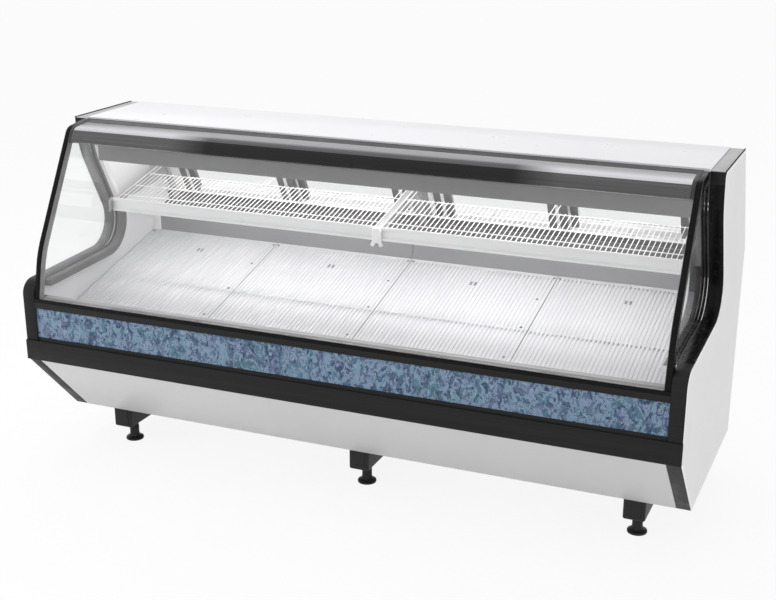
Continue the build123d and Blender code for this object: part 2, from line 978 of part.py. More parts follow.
# Wire shelves: one sloping grid and one price rail each
# They end just before the brackets' posts, where the shelf plane meets the leaning post faces.
shelf_front_height = case_height - shelf_drop
shelf_rise = tan(radians(shelf_slope))
post_limits = (track_depth, track_depth + post_depth)
lean = up_y / up_z
post_face = case_depth - post_limits[1] / up_z - shelf_back_gap
shelf_start = shelf_front_height - shelf_rise * shelf_front - kink_height
shelf_back = (post_face + lean * shelf_start) / (1 - lean * shelf_rise)
shelf_back_height = shelf_front_height + shelf_rise * (shelf_back - shelf_front)
shelf_fall = shelf_thick / cos(radians(shelf_slope))
shelf_length = (shelf_back - shelf_front) / cos(radians(shelf_slope))
bracket_end = liner_in - channel_width - bracket_gap - arm_thick / 2
shelf_limits = (shelf_middle_gap / 2, bracket_end - shelf_middle_gap / 2)
cell_rows = shelf_cross_wires - 1
cell_length = (shelf_length - shelf_cross_wires * wire_width) / cell_rows
cells_across = int((shelf_limits[1] - shelf_limits[0] - wire_width) / wire_pitch)
rail_top = shelf_front_height - rail_drop
for node, end in zip(("shelf_left", "shelf_right"), both_ends(shelf_limits)):
    shelf_plane = Plane(
        origin=((end[0] + end[1]) / 2, front + shelf_front, shelf_front_height),
        x_dir=(1, 0, 0),
        z_dir=(0, -sin(radians(shelf_slope)), cos(radians(shelf_slope))),
    )
    with BuildPart() as shelf:
        prism(
            [
                (shelf_front, shelf_front_height - shelf_fall),
                (shelf_front, shelf_front_height),
                (shelf_back, shelf_back_height),
                (shelf_back, shelf_back_height - shelf_fall),
            ],
            end,
        )
        with BuildSketch(shelf_plane) as cells:
            with Locations((0, shelf_length / 2)):
                with GridLocations(wire_pitch, cell_length + wire_width, cells_across, cell_rows):
                    Rectangle(wire_pitch - wire_width, cell_length)
        extrude(cells.sketch, amount=2 * shelf_thick, both=True, mode=Mode.SUBTRACT)
        block(end, (shelf_front - rail_thick, shelf_front), (rail_top - rail_height, rail_top))
    save(shelf, node)

# Shelf brackets: leaning posts on the door tracks, tapered webs and flanges under the shelves
post_head = head_top - post_head_gap
post_middle = (post_limits[0] + post_limits[1]) / 2
arm_front = shelf_front - arm_nose


def shelf_under(depth):
    """Height of the underside of the shelves at a depth."""
    return shelf_front_height - shelf_fall + shelf_rise * (depth - shelf_front)


arm_top = shelf_under(shelf_back)
arm_low = arm_top - arm_back_depth
arm_outline = [
    (arm_front, rail_top - rail_height),
    (arm_front, shelf_front_height),
    (shelf_front, shelf_front_height + arm_nose_rise),
    (shelf_front + arm_nose, shelf_under(shelf_front + arm_nose)),
    (shelf_back, arm_top),
    (rear_depth(arm_top, post_middle), arm_top),
    (rear_depth(arm_low, post_middle), arm_low),
    (shelf_front + arm_nose, shelf_under(shelf_front + arm_nose) - arm_front_depth),
]
flange_outline = [
    (shelf_front, shelf_under(shelf_front) - flange_thick),
    (shelf_front, shelf_under(shelf_front)),
    (shelf_back, arm_top),
    (shelf_back, arm_top - flange_thick),
]
flange_limits = {
    -bracket_end: (-bracket_end - arm_thick / 2, -bracket_end + flange_width / 2),
    0: (-flange_width / 2, flange_width / 2),
    bracket_end: (bracket_end - flange_width / 2, bracket_end + arm_thick / 2),
}
with BuildPart() as shelf_brackets:
    for bracket_x, flange in flange_limits.items():
        prism(
            [
                rear_point(post_foot, post_limits[0]),
                rear_point(post_head, post_limits[0]),
                rear_point(post_head, post_limits[1]),
                rear_point(post_foot, post_limits[1]),
            ],
            (bracket_x - post_width / 2, bracket_x + post_width / 2),
        )
        prism(arm_outline, (bracket_x - arm_thick / 2, bracket_x + arm_thick / 2))
        prism(flange_outline, flange)
save(shelf_brackets, "shelf_brackets")


def fan_wheel(centre, radius, y):
    """Bored hub with flat pitched blades around an axis along the depth."""
    middle = (centre[0], front + (y[0] + y[1]) / 2, centre[1])
    tilt = radians(blade_pitch)
    with BuildPart() as wheel:
        rod(centre, hub_radius, y)
        for index in range(fan_blades):
            turn = 2 * pi * index / fan_blades
            spoke = Plane(
                origin=middle,
                x_dir=(cos(turn), 0, sin(turn)),
                z_dir=(sin(tilt) * sin(turn), cos(tilt), -sin(tilt) * cos(turn)),
            )
            with BuildSketch(spoke) as blade:
                with BuildLine():
                    Polyline(
                        (hub_radius / 2, -blade_root / 2),
                        (radius, -blade_tip / 2),
                        (radius, blade_tip / 2),
                        (hub_radius / 2, blade_root / 2),
                        close=True,
                    )
                make_face()
            extrude(blade.sketch, amount=blade_thick / 2, both=True)
        rod(centre, shaft_radius + shaft_gap, y, Mode.SUBTRACT)
    return wheel


def fan_mount(centre, radius, plate, towards):
    """Strap across a fan hole on two stands, with the motor and shaft behind it."""
    reach = radius + fan_tip_gap + strap_reach
    strap = sorted((plate + towards * strap_stand, plate + towards * (strap_stand + strap_thick)))
    stand = sorted((plate, plate + towards * strap_stand))
    across = (centre[0] - strap_width / 2, centre[0] + strap_width / 2)
    block(across, strap, (centre[1] - reach, centre[1] + reach))
    for end in (-reach, reach - strap_reach / 2):
        block(across, stand, (centre[1] + end, centre[1] + end + strap_reach / 2))
    rod(centre, shaft_radius + fit_gap, strap, Mode.SUBTRACT)


def fan_motor(centre, plate, towards):
    """Motor body on the strap with a shaft that reaches through the fan hub."""
    face = plate + towards * (strap_stand + strap_thick)
    rod(centre, motor_radius, sorted((face, face + towards * motor_length)))
    rod(centre, shaft_radius, sorted((face, plate - towards * fan_depth / 2)))


# Evaporator under the decks: finned coil, shroud plate with two fans and their motors
coil_back = duct_front - shroud_gap - coil_behind_gap
coil_half = liner_in - coil_end_gap
coil_bottom = liner_floor + coil_lift
coil_top = liner_floor + coil_height
fin_count = int(2 * coil_half / fin_pitch) - 1
with BuildPart() as evaporator_coil:
    block((-coil_half, coil_half), (coil_back - coil_depth, coil_back), (coil_bottom, coil_top))
    with BuildSketch(Plane.XY.offset(coil_top)) as fin_gaps:
        with Locations((0, front + coil_back - coil_depth / 2)):
            with GridLocations(fin_pitch, 1, fin_count, 1):
                Rectangle(fin_groove, coil_depth)
    extrude(fin_gaps.sketch, amount=coil_bottom + coil_base - coil_top, mode=Mode.SUBTRACT)
    for end in both_ends((coil_half - sheet, coil_half)):
        block(end, (coil_back - coil_depth, coil_back), (liner_floor, coil_top))
save(evaporator_coil, "evaporator_coil")

shroud_front = duct_front - shroud_gap
shroud_back = shroud_front + sheet
evaporator_fan_height = (liner_floor + duct_shelf - sheet) / 2
fan_places = {
    "left": (-evaporator_fan_x, evaporator_fan_height),
    "right": (evaporator_fan_x, evaporator_fan_height),
}
wheel_limits = (shroud_front - fan_depth / 2, shroud_front + fan_depth / 2)
with BuildPart() as evaporator_shroud:
    block((-duct_limits[1], duct_limits[1]), (shroud_front, shroud_back), (liner_floor, duct_shelf - sheet))
    for centre in fan_places.values():
        rod(centre, evaporator_fan_radius + fan_tip_gap, (shroud_front, shroud_back), Mode.SUBTRACT)
        fan_mount(centre, evaporator_fan_radius, shroud_back, 1)
        fan_motor(centre, shroud_back, 1)
save(evaporator_shroud, "evaporator_shroud")

for place, centre in fan_places.items():
    evaporator_fan = fan_wheel(centre, evaporator_fan_radius, wheel_limits)
    save(evaporator_fan, f"evaporator_fan_{place}")

# Condensing unit on the floor pan: compressor, condenser coil, shroud with motor, fan
compressor_y = front + case_depth - compressor_back_gap
with BuildPart() as compressor:
    with BuildSketch(Plane.XY.offset(floor_top)):
        with Locations((compressor_x, compressor_y)):
            Rectangle(compressor_plate, compressor_plate)
    extrude(amount=2 * sheet)
    upright = Plane(origin=(compressor_x, compressor_y, floor_top), x_dir=(1, 0, 0), z_dir=(0, -1, 0))
    with BuildSketch(upright):
        with BuildLine():
            FilletPolyline(
                (0, sheet),
                (compressor_radius, sheet),
                (compressor_radius, compressor_height),
                (0, compressor_height),
                radius=[0, compressor_dome],
            )
            Line((0, compressor_height), (0, sheet))
        make_face()
    revolve(axis=Axis((compressor_x, compressor_y, 0), (0, 0, 1)))
save(compressor, "compressor")

condenser_height = 2 * (condenser_fan_radius + fan_tip_gap + strap_reach + condenser_margin)
condenser_back = grille_in - condenser_back_gap
condenser_front = condenser_back - condenser_depth
condenser_limits = (condenser_x - condenser_width / 2, condenser_x + condenser_width / 2)
condenser_top = floor_top + condenser_height
condenser_centre = (condenser_x, (floor_top + condenser_top) / 2)
condenser_fins = int(condenser_width / fin_pitch) - 1
with BuildPart() as condenser_coil:
    block(condenser_limits, (condenser_front, condenser_back), (floor_top, condenser_top))
    with BuildSketch(Plane.XY.offset(condenser_top)) as fin_gaps:
        with Locations((condenser_x, front + condenser_back - condenser_depth / 2)):
            with GridLocations(fin_pitch, 1, condenser_fins, 1):
                Rectangle(fin_groove, condenser_depth)
    extrude(fin_gaps.sketch, amount=coil_base - condenser_height, mode=Mode.SUBTRACT)
save(condenser_coil, "condenser_coil")

hood_front = condenser_front - condenser_shroud_depth
hood_plate = (hood_front, hood_front + sheet)
with BuildPart() as condenser_shroud:
    block(condenser_limits, (hood_front, condenser_front), (floor_top, condenser_top))
    block(
        (condenser_limits[0] + sheet, condenser_limits[1] - sheet),
        (hood_plate[1], condenser_front),
        (floor_top + sheet, condenser_top - sheet),
        Mode.SUBTRACT,
    )
    rod(condenser_centre, condenser_fan_radius + fan_tip_gap, hood_plate, Mode.SUBTRACT)
    fan_mount(condenser_centre, condenser_fan_radius, hood_front, -1)
    fan_motor(condenser_centre, hood_front, -1)
save(condenser_shroud, "condenser_shroud")

condenser_wheel = (hood_front - fan_depth / 2 + sheet, hood_front + fan_depth / 2 + sheet)
condenser_fan = fan_wheel(condenser_centre, condenser_fan_radius, condenser_wheel)
save(condenser_fan, "condenser_fan")

# Rear grille: louvred panel with a hole for the control box, the gland and the screws
panel_limits = (panel_x - panel_width / 2, panel_x + panel_width / 2)
panel_heights = (panel_middle - panel_height / 2, panel_middle + panel_height / 2)
box_limits = (panel_limits[0] + screw_edge, panel_limits[1] - screw_edge)
box_heights = (panel_heights[0] + screw_edge, panel_heights[1] - screw_edge)
grille_back = tank_back
rear_view = Plane(origin=(0, front + grille_in, 0), x_dir=(-1, 0, 0), z_dir=(0, 1, 0))
screw_span = 2 * (wall_in - screw_edge) / (screw_columns - 1)
screw_rise = kick_top - body_bottom - 2 * screw_edge
screw_middle = (kick_top + body_bottom) / 2
with BuildPart() as rear_grille:
    block((-wall_in, wall_in), (grille_in, grille_back), (body_bottom, kick_top))
    block(box_limits, (grille_in, grille_back), box_heights, Mode.SUBTRACT)
    with BuildSketch(rear_view) as openings:
        with Locations((-louvre_shift, louvre_centre)):
            with GridLocations(louvre_pitch_x, louvre_pitch_z, louvre_columns, louvre_rows):
                Rectangle(louvre_length, louvre_height)
        with Locations((-gland_x, gland_height)):
            Circle(gland_radius + fit_gap)
        with Locations((0, screw_middle)):
            with GridLocations(screw_span, screw_rise, screw_columns, 2):
                Circle(screw_radius + fit_gap)
    extrude(openings.sketch, amount=sheet, mode=Mode.SUBTRACT)
save(rear_grille, "rear_grille")

with BuildPart() as panel_screws:
    with BuildSketch(rear_view.offset(sheet)) as heads:
        with Locations((0, screw_middle)):
            with GridLocations(screw_span, screw_rise, screw_columns, 2):
                Circle(screw_head_radius)
    extrude(heads.sketch, amount=screw_head_height)
    with BuildSketch(rear_view.offset(sheet)) as shanks:
        with Locations((0, screw_middle)):
            with GridLocations(screw_span, screw_rise, screw_columns, 2):
                Circle(screw_radius)
    extrude(shanks.sketch, amount=-screw_length)
save(panel_screws, "panel_screws")

# Control panel: face plate on the grille with a box behind it, and the mains cable gland
panel_face = (grille_back, grille_back + panel_thick)
box_back = (grille_back - box_depth, grille_back)
button_places = {
    "up": (button_x - button_spacing / 2, panel_middle),
    "down": (button_x + button_spacing / 2, panel_middle),
}
rocker_limits = (rocker_x - rocker_width / 2, rocker_x + rocker_width / 2)
rocker_axis = (panel_face[1] - rocker_half, panel_middle)
rocker_room = rocker_half * sqrt(2) + rocker_clear
rocker_hole = (rocker_limits[0] - fit_gap, rocker_limits[1] + fit_gap)
button_end = panel_face[1] + button_proud
button_bore = (button_end - button_length - box_wall, button_end)
with BuildPart() as control_panel:
    block(panel_limits, panel_face, panel_heights)
    block(box_limits, box_back, box_heights)
    for centre in button_places.values():
        rod(centre, button_radius + shaft_gap, button_bore, Mode.SUBTRACT)
    block(
        rocker_hole,
        (rocker_axis[0] - rocker_room, panel_face[1]),
        (panel_middle - rocker_room, panel_middle + rocker_room),
        Mode.SUBTRACT,
    )
    with BuildSketch(side(rocker_limits[0] - box_wall)) as pivot_hole:
        with Locations(rocker_axis):
            Circle(rocker_pin + shaft_gap)
    extrude(pivot_hole.sketch, amount=rocker_width + 2 * box_wall, mode=Mode.SUBTRACT)
    rod((gland_x, gland_height), gland_flange, (grille_back, grille_back + gland_proud))
    rod((gland_x, gland_height), gland_radius, (grille_back - gland_length, grille_back))
save(control_panel, "control_panel")

for place, centre in button_places.items():
    with BuildPart() as button:
        rod(centre, button_radius, (button_end - button_length, button_end))
    save(button, f"button_{place}")

with BuildPart() as light_switch:
    prism(
        [
            (rocker_axis[0] - rocker_half / 2, panel_middle - rocker_half / 2),
            (rocker_axis[0] + rocker_half, panel_middle - rocker_half),
            (rocker_axis[0] + rocker_half - 2 * rocker_pin, panel_middle),
            (rocker_axis[0] + rocker_half - rocker_pin, panel_middle + rocker_half),
            (rocker_axis[0] - rocker_half / 2, panel_middle + rocker_half / 2),
        ],
        rocker_limits,
    )
    with BuildSketch(side(rocker_limits[0] - box_wall)) as pivot:
        with Locations(rocker_axis):
            Circle(rocker_pin)
    extrude(pivot.sketch, amount=rocker_width + 2 * box_wall)
save(light_switch, "light_switch")
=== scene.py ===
import json
import math
import bpy
import bmesh
from mathutils import Matrix, Vector

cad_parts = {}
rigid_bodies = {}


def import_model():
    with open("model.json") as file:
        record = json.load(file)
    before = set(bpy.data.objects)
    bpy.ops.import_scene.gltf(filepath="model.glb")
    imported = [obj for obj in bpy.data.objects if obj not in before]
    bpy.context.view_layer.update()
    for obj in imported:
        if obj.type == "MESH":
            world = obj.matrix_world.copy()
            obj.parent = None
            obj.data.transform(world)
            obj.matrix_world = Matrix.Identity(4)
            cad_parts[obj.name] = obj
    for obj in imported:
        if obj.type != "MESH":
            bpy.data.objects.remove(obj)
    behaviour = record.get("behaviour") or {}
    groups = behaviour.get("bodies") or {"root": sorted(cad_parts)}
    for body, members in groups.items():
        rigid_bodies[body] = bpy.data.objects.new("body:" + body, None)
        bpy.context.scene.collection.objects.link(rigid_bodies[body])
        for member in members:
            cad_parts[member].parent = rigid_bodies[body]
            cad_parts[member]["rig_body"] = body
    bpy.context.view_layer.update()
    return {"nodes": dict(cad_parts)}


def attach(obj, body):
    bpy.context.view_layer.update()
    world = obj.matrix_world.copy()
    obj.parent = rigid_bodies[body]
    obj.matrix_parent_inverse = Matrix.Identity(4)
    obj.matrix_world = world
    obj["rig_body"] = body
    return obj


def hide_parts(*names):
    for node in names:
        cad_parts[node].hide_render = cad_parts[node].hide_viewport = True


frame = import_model()
nodes = frame["nodes"]
scene = bpy.context.scene
print("frame loaded:", len(nodes), "nodes")


# camera first, at the angle the case was photographed from
photoCamera = {
    "yaw": 22.936,
    "pitch": 19.622,
    "place": (1.8731, -4.3464, 2.2431),
    "lens": 61.42,
    "sensor": 36.0,
    "shiftUp": 0.0451,
}


def aimed(name, data, place, direction):
    ob = bpy.data.objects.new(name, data)
    ob.location = place
    ob.rotation_mode = "QUATERNION"
    ob.rotation_quaternion = direction.to_track_quat("-Z", "Y")
    scene.collection.objects.link(ob)
    return ob


def setCamera(c):
    a, e = math.radians(c["yaw"]), math.radians(c["pitch"])
    back = Vector((math.sin(a) * math.cos(e), -math.cos(a) * math.cos(e), math.sin(e)))
    data = bpy.data.cameras.new("caseCamera")
    data.sensor_fit = "HORIZONTAL"
    data.sensor_width = c["sensor"]
    data.lens = c["lens"]
    data.shift_y = c["shiftUp"]
    data.clip_end = 200
    scene.camera = aimed("caseCamera", data, c["place"], -back)


setCamera(photoCamera)
print("camera set")


# node helpers
def setUp(node, values):
    for socket, value in values.items():
        node.inputs[socket].default_value = value
    return node


def startFinish(name):
    mat = bpy.data.materials.new(name)
    mat.use_nodes = True
    tree = mat.node_tree
    coords = tree.nodes.new("ShaderNodeTexCoord")
    return mat, tree, tree.nodes["Principled BSDF"], coords.outputs["Object"]


def stretched(tree, vector, scale):
    n = setUp(tree.nodes.new("ShaderNodeMapping"), {"Scale": scale})
    tree.links.new(vector, n.inputs["Vector"])
    return n.outputs["Vector"]


def noise(tree, vector, scale, detail=3.0, rough=0.5, warp=0.0):
    n = tree.nodes.new("ShaderNodeTexNoise")
    setUp(n, {"Scale": scale, "Detail": detail, "Roughness": rough, "Distortion": warp})
    tree.links.new(vector, n.inputs["Vector"])
    return n.outputs["Fac"]


def cells(tree, vector, scale):
    n = setUp(tree.nodes.new("ShaderNodeTexVoronoi"), {"Scale": scale})
    tree.links.new(vector, n.inputs["Vector"])
    return n


def ramp(tree, fac, *stops):
    n = tree.nodes.new("ShaderNodeValToRGB")
    points = n.color_ramp.elements
    while len(points) < len(stops):
        points.new(0.5)
    for point, (place, colour) in zip(points, stops):
        point.position = place
        point.color = (*colour, 1)
    tree.links.new(fac, n.inputs["Fac"])
    return n.outputs["Color"]


def spread(tree, fac, low, high, fromLow=0.3, fromHigh=0.7):
    n = tree.nodes.new("ShaderNodeMapRange")
    setUp(n, {"From Min": fromLow, "From Max": fromHigh, "To Min": low, "To Max": high})
    tree.links.new(fac, n.inputs["Value"])
    return n.outputs["Result"]


def mixed(tree, fac, one, two, how="MIX"):
    n = tree.nodes.new("ShaderNodeMix")
    n.data_type = "RGBA"
    n.blend_type = how
    for socket, value in ((n.inputs[0], fac), (n.inputs[6], one), (n.inputs[7], two)):
        if isinstance(value, (int, float)):
            socket.default_value = value
        elif isinstance(value, tuple):
            socket.default_value = (*value, 1)
        else:
            tree.links.new(value, socket)
    return n.outputs[2]


def sums(tree, how, one, two):
    n = tree.nodes.new("ShaderNodeMath")
    n.operation = how
    for socket, value in ((n.inputs[0], one), (n.inputs[1], two)):
        if isinstance(value, (int, float)):
            socket.default_value = value
        else:
            tree.links.new(value, socket)
    return n.outputs[0]


def bumped(tree, shader, height, strength, deep):
    n = setUp(tree.nodes.new("ShaderNodeBump"), {"Strength": strength, "Distance": deep})
    tree.links.new(height, n.inputs["Height"])
    tree.links.new(n.outputs["Normal"], shader.inputs["Normal"])


def shadedBy(tree, out, share, one, two):
    # the surface of a material or the sky, mixed of two shaders
    both = tree.nodes.new("ShaderNodeMixShader")
    for link, socket in zip((share, one.outputs[0], two.outputs[0]), both.inputs):
        tree.links.new(link, socket)
    tree.links.new(both.outputs[0], tree.nodes[out].inputs["Surface"])


def parted(tree, vector):
    n = tree.nodes.new("ShaderNodeSeparateXYZ")
    tree.links.new(vector, n.inputs[0])
    return n.outputs


def coated(tree, shader, colour, rough, shine=0.5):
    tree.links.new(colour, shader.inputs["Base Color"])
    tree.links.new(rough, shader.inputs["Roughness"])
    setUp(shader, {"Specular IOR Level": shine})


def toned(colour, by):
    return tuple(min(1.0, c * by) for c in colour)


def greys(*stops):
    return [(place, (tone, tone, tone * 1.02)) for place, tone in stops]


# finishes
longStreaks = (0.8, 60.0, 160.0)
brushLines = (3.0, 900.0, 900.0)
deckShadeReach = (-0.43, 0.33)       # metres, from the front of the decks to their back, over which their painted shade runs
reflectionEndReach = (0.58, 0.74)         # metres from the middle, where the painted reflection on the nose and its strip turns lighter
noseReflectionReach = (-0.23, -0.11)      # metres, over the nose from its front to its back, across which its painted reflection is drawn


def enamel(name, colour, gloss=0.32, drift=0.02, peel=0.05, shine=0.5, paintedShade=()):
    # tones of painted shade from the front of the decks to their back, darker at the front and under the
    # shelf at the back
    mat, tree, shader, where = startFinish(name)
    slow = noise(tree, where, 2.2, 2.0)
    fine = noise(tree, where, 240.0, 2.0)
    tone = ramp(tree, slow, (0.3, toned(colour, 1 - drift)), (0.7, toned(colour, 1 + drift)))
    speck = ramp(tree, fine, (0.35, (0.985, 0.985, 0.985)), (0.6, (1, 1, 1)))
    if paintedShade:
        along = spread(tree, parted(tree, where)["Y"], 0.0, 1.0, *deckShadeReach)
        tone = mixed(tree, 1.0, tone, ramp(tree, along, *greys(*paintedShade)), "MULTIPLY")
    rough = spread(tree, noise(tree, where, 9.0, 4.0), gloss - 0.03, gloss + 0.04)
    coated(tree, shader, mixed(tree, 1.0, tone, speck, "MULTIPLY"), rough, shine)
    if peel:
        bumped(tree, shader, noise(tree, where, 420.0, 1.0), peel, 0.0004)
    return mat


def moulded(name, colour, gloss=0.28, grain=700.0, deep=0.12, shine=0.5, streak=(6.0, 6.0, 6.0)):
    mat, tree, shader, where = startFinish(name)
    slow = noise(tree, stretched(tree, where, streak), 1.0, 3.0)
    tone = ramp(tree, slow, (0.3, toned(colour, 0.8)), (0.7, toned(colour, 1.25)))
    rough = spread(tree, noise(tree, where, 22.0, 4.0), gloss - 0.06, gloss + 0.08)
    coated(tree, shader, tone, rough, shine)
    bumped(tree, shader, noise(tree, where, grain, 2.0), deep, 0.0003)
    return mat


def brushed(name, colour, gloss=0.24, along=brushLines):
    mat, tree, shader, where = startFinish(name)
    setUp(shader, {"Metallic": 1.0})
    lines = noise(tree, stretched(tree, where, along), 1.0, 2.0)
    tone = ramp(tree, lines, (0.25, toned(colour, 0.9)), (0.75, toned(colour, 1.08)))
    coated(tree, shader, tone, spread(tree, lines, gloss - 0.05, gloss + 0.08))
    bumped(tree, shader, lines, 0.06, 0.0002)
    return mat


def reflectionTowardsEnds(tree, where):
    # where the painted reflection on the nose is lighter: none in the middle of the case, full near both its
    # ends; the depth comes with it
    parts = parted(tree, where)
    far = sums(tree, "ABSOLUTE", parts["X"], 0.0)
    return spread(tree, far, 0.0, 1.0, *reflectionEndReach), parts["Y"]


# painted reflection on the nose: its front is painted dark in the middle for a dark reflection, with a
# painted highlight near both ends
def noseMetalPaintedReflection(name):
    mat, tree, shader, where = startFinish(name)
    setUp(shader, {"Metallic": 1.0})
    ends, depth = reflectionTowardsEnds(tree, where)
    across = spread(tree, depth, 0.0, 1.0, *noseReflectionReach)
    # the first ramp is the painted dark reflection of the middle, the second the painted highlight near the
    # ends
    middle = ramp(tree, across, *greys((0.0, 0.11), (0.2, 0.14), (0.33, 0.34), (1.0, 0.34)))
    sides = ramp(tree, across, *greys((0.0, 0.55), (0.18, 0.74), (0.34, 0.55), (0.55, 0.37), (1.0, 0.34)))
    lines = noise(tree, stretched(tree, where, brushLines), 1.0, 2.0)
    grain = ramp(tree, lines, *greys((0.25, 0.92), (0.75, 1.0)))
    tone = mixed(tree, 1.0, mixed(tree, ends, middle, sides), grain, "MULTIPLY")
    coated(tree, shader, tone, spread(tree, lines, 0.22, 0.34))
    bumped(tree, shader, lines, 0.06, 0.0002)
    return mat


# painted reflection on the black strip of the nose: near black in the middle, and lighter near both ends as
# a painted highlight
def reflectionStripPlastic(name):
    mat, tree, shader, where = startFinish(name)
    ends = reflectionTowardsEnds(tree, where)[0]
    streak = noise(tree, stretched(tree, where, longStreaks), 1.0, 3.0)
    middle = ramp(tree, streak, *greys((0.3, 0.008), (0.7, 0.012)))
    sides = ramp(tree, streak, *greys((0.3, 0.07), (0.7, 0.11)))
    rough = spread(tree, noise(tree, where, 22.0, 4.0), 0.26, 0.36)
    coated(tree, shader, mixed(tree, ends, middle, sides), rough, 0.22)
    bumped(tree, shader, noise(tree, where, 700.0, 2.0), 0.1, 0.0003)
    return mat


def galvanisedSheet(name, colour):
    mat, tree, shader, where = startFinish(name)
    setUp(shader, {"Metallic": 0.85})
    spangle = cells(tree, where, 70.0)
    tone = ramp(tree, spangle.outputs["Color"], (0.0, toned(colour, 0.82)), (1.0, toned(colour, 1.12)))
    coated(tree, shader, tone, spread(tree, spangle.outputs["Distance"], 0.34, 0.52, 0.0, 0.8))
    bumped(tree, shader, noise(tree, where, 160.0, 3.0), 0.08, 0.0004)
    return mat


def paneGlass(name, tint, least=0.04, most=0.6, falls=3.0):
    mat, tree, shader, where = startFinish(name)
    tree.nodes.remove(shader)
    clear = setUp(tree.nodes.new("ShaderNodeBsdfTransparent"), {"Color": (*tint, 1)})
    mirror = setUp(tree.nodes.new("ShaderNodeBsdfGlossy"), {"Color": (1, 1, 1, 1), "Roughness": 0.02})
    angle = setUp(tree.nodes.new("ShaderNodeLayerWeight"), {"Blend": 0.5})
    graze = sums(tree, "POWER", angle.outputs["Facing"], falls)
    wiped = spread(tree, noise(tree, where, 3.0, 4.0), 0.85, 1.1)
    share = sums(tree, "MULTIPLY", spread(tree, graze, least, most, 0.0, 1.0), wiped)
    shadedBy(tree, "Material Output", share, clear, mirror)
    return mat


def stirred(tree, vector, scale, reach):
    # a place pushed about by slow noise, so that what is drawn there swirls
    push = setUp(tree.nodes.new("ShaderNodeTexNoise"), {"Scale": scale, "Detail": 3.0})
    tree.links.new(vector, push.inputs["Vector"])
    pull = tree.nodes.new("ShaderNodeVectorMath")
    pull.operation = "SCALE"
    setUp(pull, {"Scale": reach})
    tree.links.new(push.outputs["Color"], pull.inputs[0])
    add = tree.nodes.new("ShaderNodeVectorMath")
    tree.links.new(vector, add.inputs[0])
    tree.links.new(pull.outputs[0], add.inputs[1])
    return add.outputs[0]


def marbledLaminate(name):
    mat, tree, shader, where = startFinish(name)
    swirled = stirred(tree, stretched(tree, where, (1.2, 0.2, 0.85)), 22.0, 0.09)
    cloud = noise(tree, swirled, 18.0, 3.0, 0.5)
    swirl = noise(tree, swirled, 42.0, 3.5, 0.55, 0.5)
    fleck = noise(tree, swirled, 80.0, 3.0, 0.5, 0.8)
    body = ramp(tree, swirl, (0.36, (0.024, 0.05, 0.105)), (0.45, (0.075, 0.125, 0.215)),
                (0.52, (0.12, 0.18, 0.285)), (0.62, (0.185, 0.265, 0.38)))
    teal = ramp(tree, cloud, (0.46, (0, 0, 0)), (0.6, (1, 1, 1)))
    body = mixed(tree, teal, body, mixed(tree, 0.4, body, (0.13, 0.28, 0.34)))
    mauve = ramp(tree, cloud, (0.36, (1, 1, 1)), (0.45, (0, 0, 0)))
    body = mixed(tree, mauve, body, mixed(tree, 0.3, body, (0.22, 0.25, 0.43)))
    dark = ramp(tree, fleck, (0.36, (1, 1, 1)), (0.45, (0, 0, 0)))
    body = mixed(tree, dark, body, (0.015, 0.035, 0.085))
    edge = sums(tree, "ABSOLUTE", sums(tree, "SUBTRACT", swirl, 0.53), 0.0)
    pale = ramp(tree, edge, (0.004, (0.5, 0.5, 0.5)), (0.03, (0, 0, 0)))
    body = mixed(tree, pale, body, (0.38, 0.48, 0.6))
    coated(tree, shader, body, spread(tree, swirl, 0.2, 0.34), 0.35)
    bumped(tree, shader, noise(tree, where, 500.0, 2.0), 0.05, 0.0002)
    return mat


def frostedLamp(name):
    mat, tree, shader, where = startFinish(name)
    tone = ramp(tree, noise(tree, where, 30.0, 3.0), (0.3, (0.9, 0.9, 0.87)), (0.7, (0.97, 0.97, 0.95)))
    tree.links.new(tone, shader.inputs["Base Color"])
    setUp(shader, {"Roughness": 0.45, "Emission Color": (1.0, 0.985, 0.97, 1), "Emission Strength": 11.8})
    return mat


